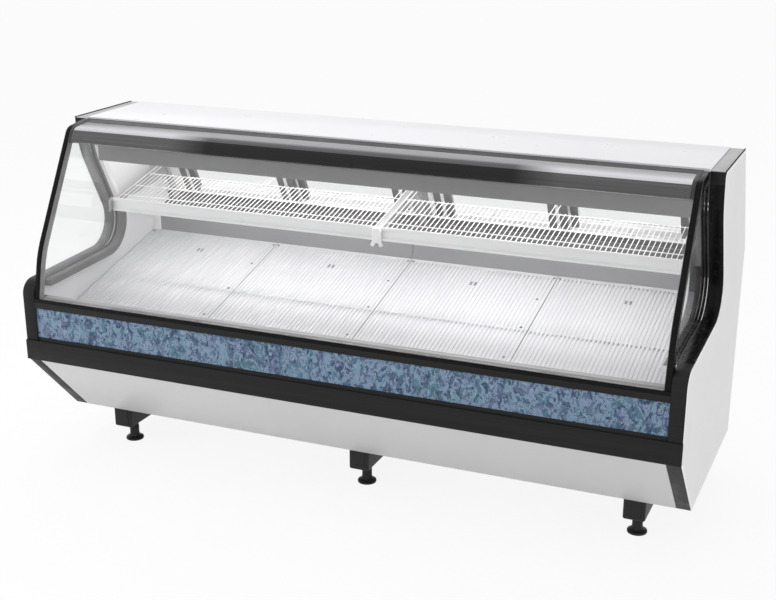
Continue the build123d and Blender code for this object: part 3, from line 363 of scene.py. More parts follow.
finishes = {
    "white_enamel": enamel("whiteEnamel", (0.84, 0.84, 0.87), 0.3, peel=0.0),
    "light_grey_enamel": enamel("kickEnamel", (0.62, 0.62, 0.62), 0.36, shine=0.3),
    "skin_enamel": enamel("skinEnamel", (0.78, 0.78, 0.785), 0.34, shine=0.3),
    # painted highlight along the edges of the end skins
    "skin_edge": enamel("skinHighlightEnamel", (0.9, 0.9, 0.9), 0.34, shine=0.3),
    "cap_grey": enamel("capEnamel", (0.43, 0.43, 0.435), 0.34, shine=0.3),
    "back_enamel": enamel("backEnamel", (0.72, 0.72, 0.735), 0.36, shine=0.4),
    "valance_grey": enamel("valanceEnamel", (0.19, 0.19, 0.192), 0.45, shine=0.2),
    "duct_grey": enamel("ductEnamel", (0.235, 0.235, 0.245), 0.4, shine=0.3),
    "black_moulding": moulded("blackMoulding", (0.012, 0.012, 0.0125), 0.42, shine=0.18, streak=longStreaks),
    "bracket_grey": enamel("bracketEnamel", (0.34, 0.34, 0.345), 0.36),
    "post_grey": enamel("postEnamel", (0.3, 0.3, 0.305), 0.36, shine=0.3),
    "bead_grey": moulded("glazingBead", (0.36, 0.36, 0.365), 0.45, shine=0.3),
    "ledge_grey": enamel("ledgeEnamel", (0.17, 0.17, 0.173), 0.4, shine=0.3),
    "channel_grey": moulded("channelPlastic", (0.118, 0.118, 0.12), 0.42, shine=0.3),
    "rim_black": moulded("rimRubber", (0.008, 0.008, 0.0085), 0.6, shine=0.05),
    "clip_white": moulded("clipPlastic", (0.9, 0.9, 0.9), 0.35),
    "gloss_black": moulded("glossBlack", (0.005, 0.005, 0.0055), 0.24, 300.0, 0.05, 0.1),
    # painted reflection on the strip of the nose
    "strip_black": reflectionStripPlastic("stripBlack"),
    "joint_dark": moulded("jointRubber", (0.07, 0.07, 0.072), 0.5, shine=0.2),
    "seal_grey": moulded("sealRubber", (0.2, 0.2, 0.203), 0.5, shine=0.3),
    "cap_dark": moulded("noseCapPlastic", (0.035, 0.035, 0.036), 0.38, shine=0.3),
    "sill_dark": moulded("sillPlastic", (0.065, 0.065, 0.068), 0.45, shine=0.25, streak=longStreaks),
    "seal_white": moulded("sealWhite", (0.78, 0.78, 0.79), 0.45, shine=0.3),
    "fixing_dark": moulded("fixingDark", (0.12, 0.12, 0.125), 0.4),
    "black_steel": enamel("blackPowder", (0.014, 0.014, 0.015), 0.42, 0.08, 0.16, 0.25),
    "foot_black": moulded("footRubber", (0.011, 0.011, 0.012), 0.45, 500.0, 0.2, 0.25),
    "galvanised": galvanisedSheet("galvanisedSheet", (0.62, 0.63, 0.64)),
    "blue_laminate": marbledLaminate("blueLaminate"),
    "dark_profile": moulded("darkAnodised", (0.012, 0.012, 0.013), 0.34, 900.0, 0.05, 0.2, longStreaks),
    "tank_foam": enamel("foamSkin", (0.72, 0.72, 0.7), 0.6, 0.04, 0.2),
    "liner_white": enamel("linerEnamel", (0.8, 0.8, 0.81), 0.34),
    "grey_profile": moulded("greyProfile", (0.2, 0.2, 0.203), 0.4, shine=0.3),
    "clear_glass": paneGlass("clearFloatGlass", (0.99, 0.992, 0.992), 0.05),
    "door_glass": paneGlass("doorFloatGlass", (0.965, 0.968, 0.968)),
    "end_glass": paneGlass("endFloatGlass", (0.995, 0.997, 0.997), 0.04, 0.75, 2.8),
    # painted reflection on the nose
    "bright_aluminium": noseMetalPaintedReflection("brightAluminium"),
    "door_profile": brushed("doorAnodised", (0.2, 0.2, 0.205), 0.36),
    "canopy_grey": enamel("canopyEnamel", (0.7, 0.7, 0.705), 0.4),
    "lamp_white": frostedLamp("lampTube"),
    # painted shade on the decks: darker at the front and at the back
    "deck_sheet": enamel("deckEnamelPaintedShade", (0.85, 0.85, 0.855), 0.32, paintedShade=(
        (0.0, 0.66), (0.1, 0.69), (0.26, 0.81), (0.42, 0.97), (0.6, 1.0), (0.84, 0.82), (1.0, 0.72))),
    "white_wire": enamel("dippedWire", (0.87, 0.87, 0.875), 0.3, 0.02, 0.1),
    "coil_fins": brushed("finAluminium", (0.7, 0.71, 0.72), 0.3, (900.0, 3.0, 3.0)),
    "fan_plastic": moulded("fanPlastic", (0.03, 0.03, 0.034), 0.4),
    "compressor_black": enamel("compressorEnamel", (0.012, 0.012, 0.014), 0.25, 0.06, 0.1),
    "control_black": moulded("controlPlastic", (0.02, 0.02, 0.022), 0.42, 900.0, 0.25, 0.3),
    "switch_grey": moulded("switchPlastic", (0.1, 0.1, 0.105), 0.25),
    "screw_steel": brushed("zincScrew", (0.62, 0.62, 0.63), 0.3, (200.0, 200.0, 200.0)),
}
nodeLooks = {"hinge_rail": "joint_dark", "end_glasses": "end_glass"}
nodeLooks.update((f"door_glass_{n}", "door_glass") for n in range(1, 5))
print("finishes made:", len(finishes))


def dressNodes():
    for name, ob in nodes.items():
        for place in ob.material_slots:
            key = nodeLooks.get(name, place.material.name.split(".")[0])
            if key not in finishes:
                print("no finish for", name, key)
            place.material = finishes.get(key, finishes["galvanised"])


dressNodes()
print("nodes dressed")


# mesh helpers, in millimetres: x along the case, depth back from the front face, height from the floor
caseFront = 510.0
bothSides = ((-1, "Left"), (1, "Right"))
flatBelow = math.radians(0.5)   # faces of a plain node that turn less than this become one
hardFrom = math.radians(32)     # edges of it that turn more than this are rounded
sharpFrom = math.radians(35)    # edges of a finished piece that turn more than this look crisp


def at(x, depth, height):
    return Vector((x, depth - caseFront, height)) / 1000


def mirrored(side, xs):
    return sorted(side * x for x in xs)


def vertsIn(geom):
    return [g for g in geom if isinstance(g, bmesh.types.BMVert)]


def edgesIn(geom):
    return [g for g in geom if isinstance(g, bmesh.types.BMEdge)]


def edgesAround(made):
    return list(dict.fromkeys(e for v in made["verts"] for e in v.link_edges))


def newPiece(name, bm, looks, body="case", stands=()):
    bmesh.ops.remove_doubles(bm, verts=bm.verts, dist=1e-6)
    bmesh.ops.recalc_face_normals(bm, faces=bm.faces)
    mesh = bpy.data.meshes.new(name)
    bm.to_mesh(mesh)
    bm.free()
    for look in looks if isinstance(looks, tuple) else (looks,):
        mesh.materials.append(finishes[look])
    mesh.shade_smooth()
    mesh.set_sharp_from_angle(angle=sharpFrom)
    piece = bpy.data.objects.new(name, mesh)
    scene.collection.objects.link(piece)
    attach(piece, body)
    if stands:
        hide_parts(*stands)


def pushed(bm, faces, vector, keep=False):
    made = bmesh.ops.extrude_face_region(bm, geom=faces, use_keep_orig=keep)["geom"]
    bmesh.ops.translate(bm, verts=vertsIn(made), vec=vector)
    return made


def roundEdges(bm, edges, width, steps=2):
    bmesh.ops.bevel(bm, geom=edges, offset=width / 1000, offset_type="OFFSET", segments=steps,
                    profile=0.5, affect="EDGES", clamp_overlap=True, material=-1)


def block(bm, place, size, width=0.0, steps=2):
    # a box of a size in metres, set down by a matrix
    made = bmesh.ops.create_cube(bm, size=1, matrix=place @ Matrix.Diagonal((*size, 1)))
    if width:
        roundEdges(bm, edgesAround(made), width, steps)
    return made


def softBox(bm, xs, depths, heights, width, steps=2):
    low, high = at(xs[0], depths[0], heights[0]), at(xs[1], depths[1], heights[1])
    block(bm, Matrix.Translation((low + high) / 2), high - low, width, steps)


def extruded(bm, points, xs, rounds=(), width=0.0):
    # a side view of (depth, height) points, some of them rounded, drawn out along the case
    before = set(bm.faces)
    verts = [bm.verts.new(at(xs[0], *p)) for p in points]
    bm.faces.new(verts)
    for index, reach, steps in rounds:
        bmesh.ops.bevel(bm, geom=[verts[index]], offset=reach / 1000, offset_type="OFFSET", segments=steps,
                        profile=0.5, affect="VERTICES", clamp_overlap=True, material=-1)
    face = next(f for f in bm.faces if f not in before)
    rim = list(face.edges)
    made = pushed(bm, [face], ((xs[1] - xs[0]) / 1000, 0, 0))
    if width:
        roundEdges(bm, rim + edgesIn(made), width)


def insetLine(points, by):
    # a line of points moved to one side by the same distance all along
    spots, out = [Vector(p) for p in points], []
    for i, p in enumerate(spots):
        runs = [(b - a).normalized() for a, b in zip(spots[max(i - 1, 0):i + 1], spots[max(i, 1):i + 2])]
        sides = [Vector((r.y, -r.x)) for r in runs]
        middle = sum(sides, Vector((0, 0))).normalized()
        out.append(p + middle * by / middle.dot(sides[0]))
    return out


def band(bm, points, radii, insets, xs, width=0.0):
    # the strip between two insets of a bent line
    count, rounds = len(points), []
    for i, radius in enumerate(radii, start=1):
        a, p, b = (Vector(points[k]) for k in (i - 1, i, i + 1))
        half = math.tan((p - a).angle(b - p) / 2)
        rounds.append((i, (radius - insets[0]) * half, 8))
        rounds.append((2 * count - 1 - i, (radius - insets[1]) * half, 8))
    outline = insetLine(points, insets[0]) + insetLine(points, insets[1])[::-1]
    extruded(bm, outline, xs, rounds, width)


def softened(node, name, looks, slot, width, shape=None):
    # a merged copy of a plain node, with its hard edges rounded
    bm = bmesh.new()
    bm.from_mesh(nodes[node].data)
    bmesh.ops.remove_doubles(bm, verts=bm.verts, dist=1e-5)
    if shape:
        shape(bm)
    bmesh.ops.dissolve_limit(bm, angle_limit=flatBelow, verts=bm.verts, edges=bm.edges,
                             delimit={"MATERIAL"})
    hard = [e for e in bm.edges if len(e.link_faces) == 2 and e.calc_face_angle(0) > hardFrom]
    roundEdges(bm, hard, width)
    newPiece(name, bm, looks, nodes[node]["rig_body"], (node,))


def splitAt(bm, place, across=(1, 0, 0)):
    bmesh.ops.bisect_plane(bm, geom=bm.verts[:] + bm.edges[:] + bm.faces[:], dist=1e-6,
                           plane_co=Vector(across) * place / 1000, plane_no=across)


def secondLook(bm, chosen):
    for f in bm.faces:
        f.material_index = int(chosen(f.calc_center_median(), f.normal))


def ring(bm, centre, along, radius, sides):
    turn = Vector((0, 0, 1)).rotation_difference(along).to_matrix().to_4x4()
    made = bmesh.ops.create_circle(bm, segments=sides, radius=radius / 1000, cap_ends=False,
                                   matrix=Matrix.Translation(centre) @ turn)
    return edgesAround(made)


def run(bm, edges, vector):
    made = bmesh.ops.extrude_edge_only(bm, edges=edges)["geom"]
    bmesh.ops.translate(bm, verts=vertsIn(made), vec=vector)
    return edgesIn(made)


def bend(bm, edges, centre, axis, angle, steps):
    made = bmesh.ops.spin(bm, geom=edges, cent=centre, axis=axis, angle=angle, steps=steps,
                          use_merge=False, use_duplicate=False)["geom_last"]
    return edgesIn(made)


def rod(bm, start, end, radius, sides):
    first = ring(bm, start, (end - start).normalized(), radius, sides)
    last = run(bm, first, end - start)
    for edges in (first, last):
        bmesh.ops.edgeloop_fill(bm, edges=edges)


def turnedShape(bm, centre, outline, steps):
    # (radius, height) points spun about an upright axis
    verts = [bm.verts.new(at(centre[0] + r, centre[1], h)) for r, h in outline]
    edges = [bm.edges.new(pair) for pair in zip(verts, verts[1:])]
    bmesh.ops.spin(bm, geom=verts + edges, cent=at(centre[0], centre[1], 0), axis=(0, 0, 1),
                   angle=2 * math.pi, steps=steps, use_merge=True, use_duplicate=False)


# plain parts with their edges rounded
softParts = (
    ("glass_trims", "glassTrims", "gloss_black", "dark_profile", 2.0),
    ("glass_nose", "glassNose", "bright_aluminium", "bright_aluminium", 0.8),
    ("kick_panel", "kickPanel", "light_grey_enamel", "light_grey_enamel", 0.6),
    ("top_panel", "topPanel", "white_enamel", "white_enamel", 0.7),
    ("valance", "valanceStrip", "valance_grey", "grey_profile", 0.8),
    ("shelf_brackets", "shelfBrackets", "bracket_grey", "white_wire", 0.8),
    ("control_panel", "controlPanel", "control_black", "control_black", 0.7),
)
for part in softParts:
    softened(*part)
print("edges softened:", len(softParts))


# front band: seat, decor panel and bumper, their visible edges set a little lower than the plain parts
# have them
frontBand = {
    "lipEnd": (670.0, 662.0),
    "lipTone": 685.0,           # the lip of the seat is glossy above this height
    "decorEnd": (554.0, 546.0),
    "bumperEnd": (459.0, 454.5),
    "bumperFace": 1.0,
}


def lowered(bm, heights, behind=1000.0):
    for v in bm.verts:
        if abs(v.co.z * 1000 - heights[0]) < 0.1 and v.co.y * 1000 + caseFront < behind:
            v.co.z = heights[1] / 1000


def shapeSeat(bm):
    lowered(bm, frontBand["lipEnd"])
    splitAt(bm, frontBand["lipTone"], (0, 0, 1))
    secondLook(bm, lambda spot, normal: spot.z * 1000 < frontBand["lipTone"])


def shapeBumper(bm):
    lowered(bm, frontBand["decorEnd"])
    lowered(bm, frontBand["bumperEnd"], frontBand["bumperFace"])


softened("glass_seat", "glassSeat", ("gloss_black", "black_moulding"), "dark_profile", 1.2, shapeSeat)
softened("decor_panel", "decorPanel", "blue_laminate", "blue_laminate", 0.6,
         lambda bm: lowered(bm, frontBand["decorEnd"]))
softened("bumper_rail", "bumperRail", "black_moulding", "black_moulding", 1.8, shapeBumper)
print("front band made")


# parts in more than one colour: glass channels with painted light, pale above the shelf and white at the
# front end of the right one, and with painted shade, black outside the right one; rear posts with a grey
# middle, duct with white ends, canopy frame dark where the end of it shows
twoTone = {
    "channelHighlightEdge": 1173.0,      # the painted highlight on a channel is inside this
    "channelShadeEdge": 1178.0,      # the right channel is painted black outside this, as painted shade
    "shelfHeight": 955.0,
    "channelLitFront": 150.0,      # the front end of the right channel is painted white like the lit deck beside it, as painted light
    "postMiddle": 38.0,
    "canopyEnd": 1156.0,
    "ductEnd": 1160.0,
}


# painted highlight above the shelf, painted shade outside the right channel, painted light at its front end
def paintChannelLightAndShade(bm):
    edge, dark, height = twoTone["channelHighlightEdge"], twoTone["channelShadeEdge"], twoTone["shelfHeight"]
    front = twoTone["channelLitFront"] - caseFront
    for x in (-edge, edge, dark):
        splitAt(bm, x)
    splitAt(bm, height, (0, 0, 1))

    def look(spot, normal):
        if spot.x * 1000 > dark:
            return 2
        if spot.x > 0 and spot.y * 1000 < front and normal.y < -0.5:
            return 3
        return abs(spot.x) * 1000 < edge and spot.z * 1000 > height

    secondLook(bm, look)


def painted(edge, ends=True):
    # a second colour beyond an edge on both sides of the middle, or else between the two
    def paint(bm):
        for x in (-edge, edge):
            splitAt(bm, x)
        secondLook(bm, lambda spot, normal: abs(spot.x) * 1000 > edge if ends else abs(spot.x) * 1000 < edge)

    return paint


softened("glass_channels", "glassChannels", ("channel_grey", "canopy_grey", "gloss_black", "liner_white"),
         "grey_profile", 1.2, paintChannelLightAndShade)
softened("door_posts", "doorPosts", ("liner_white", "post_grey"), "liner_white", 1.2,
         painted(twoTone["postMiddle"], False))
softened("duct_panels", "ductPanels", ("duct_grey", "liner_white"), "liner_white", 0.5,
         painted(twoTone["ductEnd"]))
softened("canopy_frame", "canopyFrame", ("canopy_grey", "joint_dark"), "canopy_grey", 0.4,
         painted(twoTone["canopyEnd"]))
print("two-tone parts made")


# front glass fittings
frontGlass = {
    "line": ((8.0, 700.5), (44.0, 866.0), (290.0, 1300.0), (400.0, 1314.0)),
    "radii": (350.0, 45.0),
    "half": 1177.0,
    "stripGap": 1.0,            # strip and joint stop this far from the ends of the glass
    "ledgeGap": 4.0,
    "stripRise": 56.6,          # the dark strip, a painted dark reflection, starts this far down from the corner of the nose
    "stripTurn": 17.0,          # degrees of the corner that it goes round
    "strip": (-1.0, 0.6),       # insets: how far a piece stands out of the nose and goes into it
    "jointDepths": (367.0, 398.6),
    "joint": (-0.5, 0.3),
    "capWide": (0.2, 13.0),
    "cap": (-1.3, 0.4),
    "sealInsets": (2.5, 29.0),
    "sealThick": 1.6,
    "ledge": (7.5, 37.0, 63.0),     # depths of two strips on the seat
    "ledgeHeights": (700.02, 700.45),
}


def makeFrontFittings(g):
    bend1, corner, back = (Vector(p) for p in g["line"][1:])
    rise, fall = (corner - bend1).normalized(), (back - corner).normalized()
    turn = rise.angle(fall)
    radius = g["radii"][1]
    start = corner - rise * radius * math.tan(turn / 2)     # where the round corner starts
    wide = math.radians(g["stripTurn"])
    side = Vector((rise.y, -rise.x))
    high = start + rise * radius * math.sin(wide) + side * radius * (1 - math.cos(wide))
    low = corner - rise * g["stripRise"]
    half = g["half"]
    inside, ledge = (mirrored(1, (half - gap, gap - half)) for gap in (g["stripGap"], g["ledgeGap"]))
    bm = bmesh.new()
    # the dark strip over the front of the nose is a painted dark reflection
    band(bm, (low, start, high), (radius,), g["strip"], inside, 0.4)
    newPiece("noseStripPaintedReflection", bm, "strip_black", "front_glass")

    bm = bmesh.new()
    joint = [corner + fall * (d - corner.x) / fall.x for d in g["jointDepths"]]
    band(bm, joint, (), g["joint"], inside, 0.3)
    newPiece("noseJoint", bm, "joint_dark", "front_glass")

    bm = bmesh.new()
    for end in (-1, 1):
        xs = mirrored(end, [half - w for w in g["capWide"]])
        band(bm, (low, corner, joint[1]), (radius,), g["cap"], xs, 0.6)
    newPiece("noseCaps", bm, "cap_dark", "front_glass")

    bm = bmesh.new()
    for end in (-1, 1):
        band(bm, g["line"], g["radii"], g["sealInsets"], mirrored(end, (half, half - g["sealThick"])), 0.3)
    newPiece("trimSeals", bm, "seal_grey", "front_glass")

    bm = bmesh.new()
    for depths in zip(g["ledge"], g["ledge"][1:]):
        softBox(bm, ledge, depths, g["ledgeHeights"], 0.15)
    secondLook(bm, lambda spot, normal: spot.y * 1000 + caseFront > g["ledge"][1])
    newPiece("seatLedge", bm, ("ledge_grey", "cap_grey"))


makeFrontFittings(frontGlass)
print("front glass fitted")


# end panels: black cores, the face of the left one painted lighter as painted light, white skins with
# rounded edges and a painted highlight along their edges, grey caps with a dark rim
endPanel = {
    "outline": ((415.0, 1311.4), (424.0, 1190.0), (626.0, 787.0), (6.0, 761.0), (6.0, 457.0),
                (281.0, 170.0), (1020.0, 170.0), (1020.0, 911.0), (810.4, 1311.4)),
    "rounds": ((0, 22.0, 6), (1, 59.7, 10), (2, 170.0, 16), (3, 52.7, 10)),
    "coreEnd": (1314.0, 1311.2),    # top of the plain node, and of the core under its cap
    "skin": (1248.0, 1250.0),
    "skinRound": 1.3,
    "skinHighlightWidth": 9.0,            # width of the painted highlight along the edge of a skin
    "facet": 1268.0,            # the core is duller above this height, and below the lip
    "lip": 765.0,
    "cap": (1198.4, 1246.0),
    "capHeights": (1311.4, 1313.2),
    "rim": (1246.2, 1249.2),
    "rimHeights": (1311.4, 1315.9),
    "capDepths": (415.6, 808.0),
    "beadLine": ((80.0, 764.1), (626.0, 787.0), (424.0, 1190.0), (415.5, 1309.0)),
    "beadRadii": (110.0, 300.0),
    "edges": (("cap", "cap_grey", "light_grey_enamel"), ("rim", "rim_black", "black_moulding")),
    "bead": (1194.4, 1199.6),
    "beadInsets": (-0.8, 2.0),
}


def makeEndPanels(s):
    def trimCore(bm):
        lowered(bm, s["coreEnd"])
        for height in (s["facet"], s["lip"]):
            splitAt(bm, height, (0, 0, 1))
        secondLook(bm, lambda spot, normal: not s["lip"] < spot.z * 1000 < s["facet"])

    for side, tag in bothSides:
        # painted light: the face of the left core is dark grey where the right one is black
        looks = ("joint_dark" if side < 0 else "gloss_black", "black_moulding")
        softened("end_panel_" + tag.lower(), "endPanel" + tag, looks, "black_moulding", 1.6, trimCore)
        bm = bmesh.new()
        extruded(bm, s["outline"], mirrored(side, s["skin"]), s["rounds"])
        bmesh.ops.recalc_face_normals(bm, faces=bm.faces)
        outer = (s["skin"][1] - 0.05) / 1000
        rim = [e for e in bm.edges if all(side * v.co.x > outer for v in e.verts)]
        roundEdges(bm, rim, s["skinRound"], 3)
        face = next(f for f in bm.faces if all(side * v.co.x > outer for v in f.verts))
        # a band of paler white round the outer face of the skin is a painted highlight along its edge
        bmesh.ops.inset_region(bm, faces=[face], thickness=s["skinHighlightWidth"] / 1000, use_even_offset=True)
        for f in bm.faces:
            f.material_index = int(f != face)
        stands = ("end_skins",) if side > 0 else ()
        newPiece("endSkin" + tag, bm, ("skin_enamel", "skin_edge"), stands=stands)
        for part, look, slot in s["edges"]:
            bm = bmesh.new()
            softBox(bm, mirrored(side, s[part]), s["capDepths"], s[part + "Heights"], 0.8)
            newPiece("end" + part.title() + tag, bm, look)
        bm = bmesh.new()
        band(bm, s["beadLine"], s["beadRadii"], s["beadInsets"], mirrored(side, s["bead"]), 0.5)
        newPiece("endBead" + tag, bm, "cap_dark")


makeEndPanels(endPanel)
print("end panels made")


# decks: troughs under the slots, finger grips, seam screws and bars
deckParts = {
    "start": (80.0, 580.0),
    "slope": math.atan2(187.0, 760.0),
    "length": 782.7,
    "places": (-895.5, -298.5, 298.5, 895.5),
    "halfWidth": 297.5,
    "slot": (5.5, 368.35),
    "pitch": 15.8,
    "across": 37,
    "rows": (202.2, 580.5),      # middle of each row, along the deck
    "sheet": 2.0,
    "wall": 0.7,
    "drop": 3.4,
    "floorDown": 3.4,           # how deep the closed part of a slot is
    "floorShort": 9.0,          # open length at each end of a slot
    "seams": (-597.0, 0.0, 597.0),
    "seamBar": (0.85, -0.3, -16.0),     # half width, top and bottom from the face of the deck
    "seamShort": 14.0,
    "gripAlong": 655.0,
    "gripApart": 17.0,
    "grip": (4.0, 9.0, 0.1, 0.8),       # radius, half its straight length, gap under it, height
    "screw": (5.5, 4.2, 2.2, 1.0),      # radius at foot and head, height, where its middle is
    "screwAlong": (205.0, 403.0, 601.0),
    "screwEdge": 29.0,
    "cornerHole": (10.0, 764.0),
    "hem": (1.9, 0.25),         # folded grey edge down each side of a deck
}


def deckPlace(d, x):
    return Matrix.Translation(at(x, *d["start"])) @ Matrix.Rotation(d["slope"], 4, "X")


def makeDeckParts(d):
    for number, x in enumerate(d["places"], start=1):
        bm = bmesh.new()
        width, length = (v / 1000 + 2 * d["wall"] / 1000 for v in d["slot"])
        left = -(d["across"] - 1) / 2 * d["pitch"]
        place = Matrix.Translation((left / 1000, d["rows"][0] / 1000, -d["sheet"] / 1000))
        bmesh.ops.create_grid(bm, x_segments=1, y_segments=1, size=0.5,
                              matrix=place @ Matrix.Diagonal((width, length, 1, 1)))
        bmesh.ops.inset_individual(bm, faces=bm.faces, thickness=d["wall"] / 1000, use_even_offset=True)
        middle = min(bm.faces, key=lambda f: (f.calc_center_median() - place.translation).length)
        bmesh.ops.delete(bm, geom=[middle], context="FACES")
        pushed(bm, bm.faces[:], (0, 0, -d["drop"] / 1000), True)
        closed = Matrix.Diagonal((width, length - 2 * d["floorShort"] / 1000, 1, 1))
        low = Matrix.Translation(place.translation - Vector((0, 0, (d["floorDown"] - d["sheet"]) / 1000)))
        plate = bmesh.ops.create_grid(bm, x_segments=1, y_segments=1, size=0.5, matrix=low @ closed)
        flat = list({f for v in plate["verts"] for f in v.link_faces})
        pushed(bm, flat, (0, 0, -d["wall"] / 1000), True)
        one = bm.verts[:] + bm.edges[:] + bm.faces[:]
        for row, along in enumerate(d["rows"]):
            for n in range(d["across"]):
                if row or n:
                    copy = bmesh.ops.duplicate(bm, geom=one)["geom"]
                    shift = (n * d["pitch"] / 1000, (along - d["rows"][0]) / 1000, 0)
                    bmesh.ops.translate(bm, verts=vertsIn(copy), vec=shift)
        walls = set(bm.faces)
        wide, proud = (v / 1000 for v in d["hem"])
        for side in (-1, 1):
            spot = (side * (d["halfWidth"] / 1000 - wide / 2), d["length"] / 2000, proud / 2)
            block(bm, Matrix.Translation(spot), (wide, d["length"] / 1000, proud))
        for f in bm.faces:
            f.material_index = int(f not in walls)
        bmesh.ops.transform(bm, matrix=deckPlace(d, x), verts=bm.verts)
        newPiece(f"deckWalls{number}", bm, ("deck_sheet", "bracket_grey"), f"deck_{number}")

        bm = bmesh.new()
        radius, straight, under, tall = (v / 1000 for v in d["grip"])
        for side in (-0.5, 0.5):
            made = bmesh.ops.create_circle(bm, segments=12, radius=radius, cap_ends=True)
            bmesh.ops.translate(bm, verts=made["verts"], vec=(side * d["gripApart"] / 1000, 0, under))
            for v in made["verts"]:
                v.co.y += math.copysign(straight, v.co.y) if abs(v.co.y) > 1e-5 else straight
        for v in bm.verts:
            v.co.y += d["gripAlong"] / 1000
        pushed(bm, bm.faces[:], (0, 0, tall))
        edge, far = d["cornerHole"]
        spots = [(d["halfWidth"] - d["screwEdge"], along) for along in d["screwAlong"]]
        spots += [(side * (d["halfWidth"] - edge), far) for side in (-1, 1)]
        foot, head, tall, middle = (v / 1000 for v in d["screw"])
        for across, along in spots:
            spot = Matrix.Translation((across / 1000, along / 1000, middle))
            bmesh.ops.create_cone(bm, cap_ends=True, segments=16, radius1=foot, radius2=head,
                                  depth=tall, matrix=spot)
        bmesh.ops.transform(bm, matrix=deckPlace(d, x), verts=bm.verts)
        newPiece(f"deckFixings{number}", bm, "fixing_dark", f"deck_{number}")

    bm = bmesh.new()
    half, high, low = (v / 1000 for v in d["seamBar"])
    for x in d["seams"]:
        place = deckPlace(d, x) @ Matrix.Translation((0, d["length"] / 2000, (high + low) / 2))
        block(bm, place, (2 * half, (d["length"] - d["seamShort"]) / 1000, high - low), 0.2)
    newPiece("deckSeams", bm, "joint_dark")


makeDeckParts(deckParts)
print("decks fitted")


# wire shelves with their price rails
wireShelf = {
    "front": (480.0, 980.0),
    "slope": math.radians(12.6),
    "wiresTo": 264.0,           # the floor of the shelf
    "armsTo": 374.0,            # two wires at each end and in the middle, back to the posts
    "limits": (7.0, 1141.0),
    "wire": 1.7,
    "pitch": 19.0,
    "bendStart": 4.0,
    "bendRadius": 6.0,
    "tail": 18.0,
    "rod": (1.15, 2.7),         # radius and drop of the cross rods, in radii of the wire
    "crossAlong": (4.0, 60.0, 150.0, 262.0, 371.0),
    "crossEnds": (17.0, 1131.0),
    "rail": ((480.0, 937.5), (474.0, 937.5), (474.0, 947.5), (475.6, 947.5), (475.6, 940.0), (478.2, 940.0),
             (478.2, 987.0), (475.6, 987.0), (475.6, 979.5), (474.0, 979.5), (474.0, 989.5), (480.0, 989.5)),
}


def makeWireShelves(s):
    up = Vector((0, -math.sin(s["slope"]), math.cos(s["slope"])))
    along = Vector((0, math.cos(s["slope"]), math.sin(s["slope"])))
    inner, outer = s["limits"]
    thick, drop = (v * s["wire"] for v in s["rod"])
    for side, tag in bothSides:
        count = int((outer - inner - 2 * s["wire"]) / s["pitch"]) + 1
        first = (inner + outer) / 2 - (count - 1) / 2 * s["pitch"]
        arms = (0, 1, count // 2, count // 2 + 1, count - 2, count - 1)
        bm = bmesh.new()
        for n in range(count):
            start = at(side * (first + n * s["pitch"]), *s["front"]) - up * s["wire"] / 1000
            back = start + along * s["armsTo" if n in arms else "wiresTo"] / 1000
            turn = start + along * (s["bendStart"] + s["bendRadius"]) / 1000
            edges = ring(bm, back, -along, s["wire"], 8)
            bmesh.ops.edgeloop_fill(bm, edges=edges)
            edges = run(bm, edges, turn - back)
            centre = turn - up * s["bendRadius"] / 1000
            edges = bend(bm, edges, centre, (1, 0, 0), math.pi / 2 - s["slope"], 3)
            edges = run(bm, edges, (0, 0, -s["tail"] / 1000))
            bmesh.ops.edgeloop_fill(bm, edges=edges)
        for far in s["crossAlong"]:
            spot = at(0, *s["front"]) + along * far / 1000 - up * drop / 1000
            ends = [spot + Vector((side * x / 1000, 0, 0)) for x in s["crossEnds"]]
            rod(bm, *ends, thick, 8)
        extruded(bm, s["rail"], mirrored(side, s["limits"]), (), 0.25)
        newPiece("wireShelf" + tag, bm, "white_wire", stands=("shelf_" + tag.lower(),))


# white clip on the nose of the middle bracket
shelfClip = {
    "column": ((-9.0, 25.0), (456.0, 474.0), (930.0, 991.0)),
    "hooks": (-7.0, 23.0),
    "hook": (13.0, 12.0, 20.0),
    "lean": 24.0,
    "hookHeight": 927.0,
}


def makeShelfClip(s):
    bm = bmesh.new()
    softBox(bm, *s["column"], 7.5, 4)
    size = [v / 1000 for v in s["hook"]]
    for x in s["hooks"]:
        lean = Matrix.Rotation(math.copysign(math.radians(s["lean"]), sum(s["hooks"]) / 2 - x), 4, "Y")
        place = Matrix.Translation(at(x, sum(s["column"][1]) / 2, s["hookHeight"])) @ lean
        block(bm, place, size, 2.4, 3)
    newPiece("shelfClip", bm, "clip_white")


makeWireShelves(wireShelf)
makeShelfClip(shelfClip)
print("shelves made")


# rear doors: dark stiles between rails painted white as painted light, so they read as the bright backdrop
# through the panes; white seals down the stiles on the side of the goods; the inner lip of the sill dark,
# partly painted shade
rearDoors = {
    "up": Vector((0, -0.4637, 0.8859)),
    "inward": Vector((0, -0.8859, -0.4637)),
    "kink": (1020.0, 911.0),
    "doors": ((-1096.0, -557.5, 50.0), (-595.5, -57.0, 26.0),       # ends, and inner face by lane
              (57.0, 595.5, 50.0), (557.5, 1096.0, 26.0)),
    "stile": 75.0,
    "round": 1.2,
    "seal": 14.0,
    "thick": 1.4,
    "ends": 14.0,
    "beadAlong": {26.0: 84.0, 50.0: 107.0},     # by lane, up the door from the kink of the back
    "bead": 7.0,
    "sillBelow": 1.0,           # metres; the track below this is the sill
    "lipIn": 0.055,             # metres inward of the back plane; beyond this is the inner lip of the sill
}
airGrille = {
    "outline": ((912.0, 855.0), (912.0, 856.4), (950.0, 867.8), (968.6, 885.0), (968.6, 871.2)),
    "half": 1192.0,
    "slatPitch": 10.0,
    "slat": (1.6, 3.0),
    "slatFrom": (0.06, 0.94),   # share of the slope that a slat covers
}


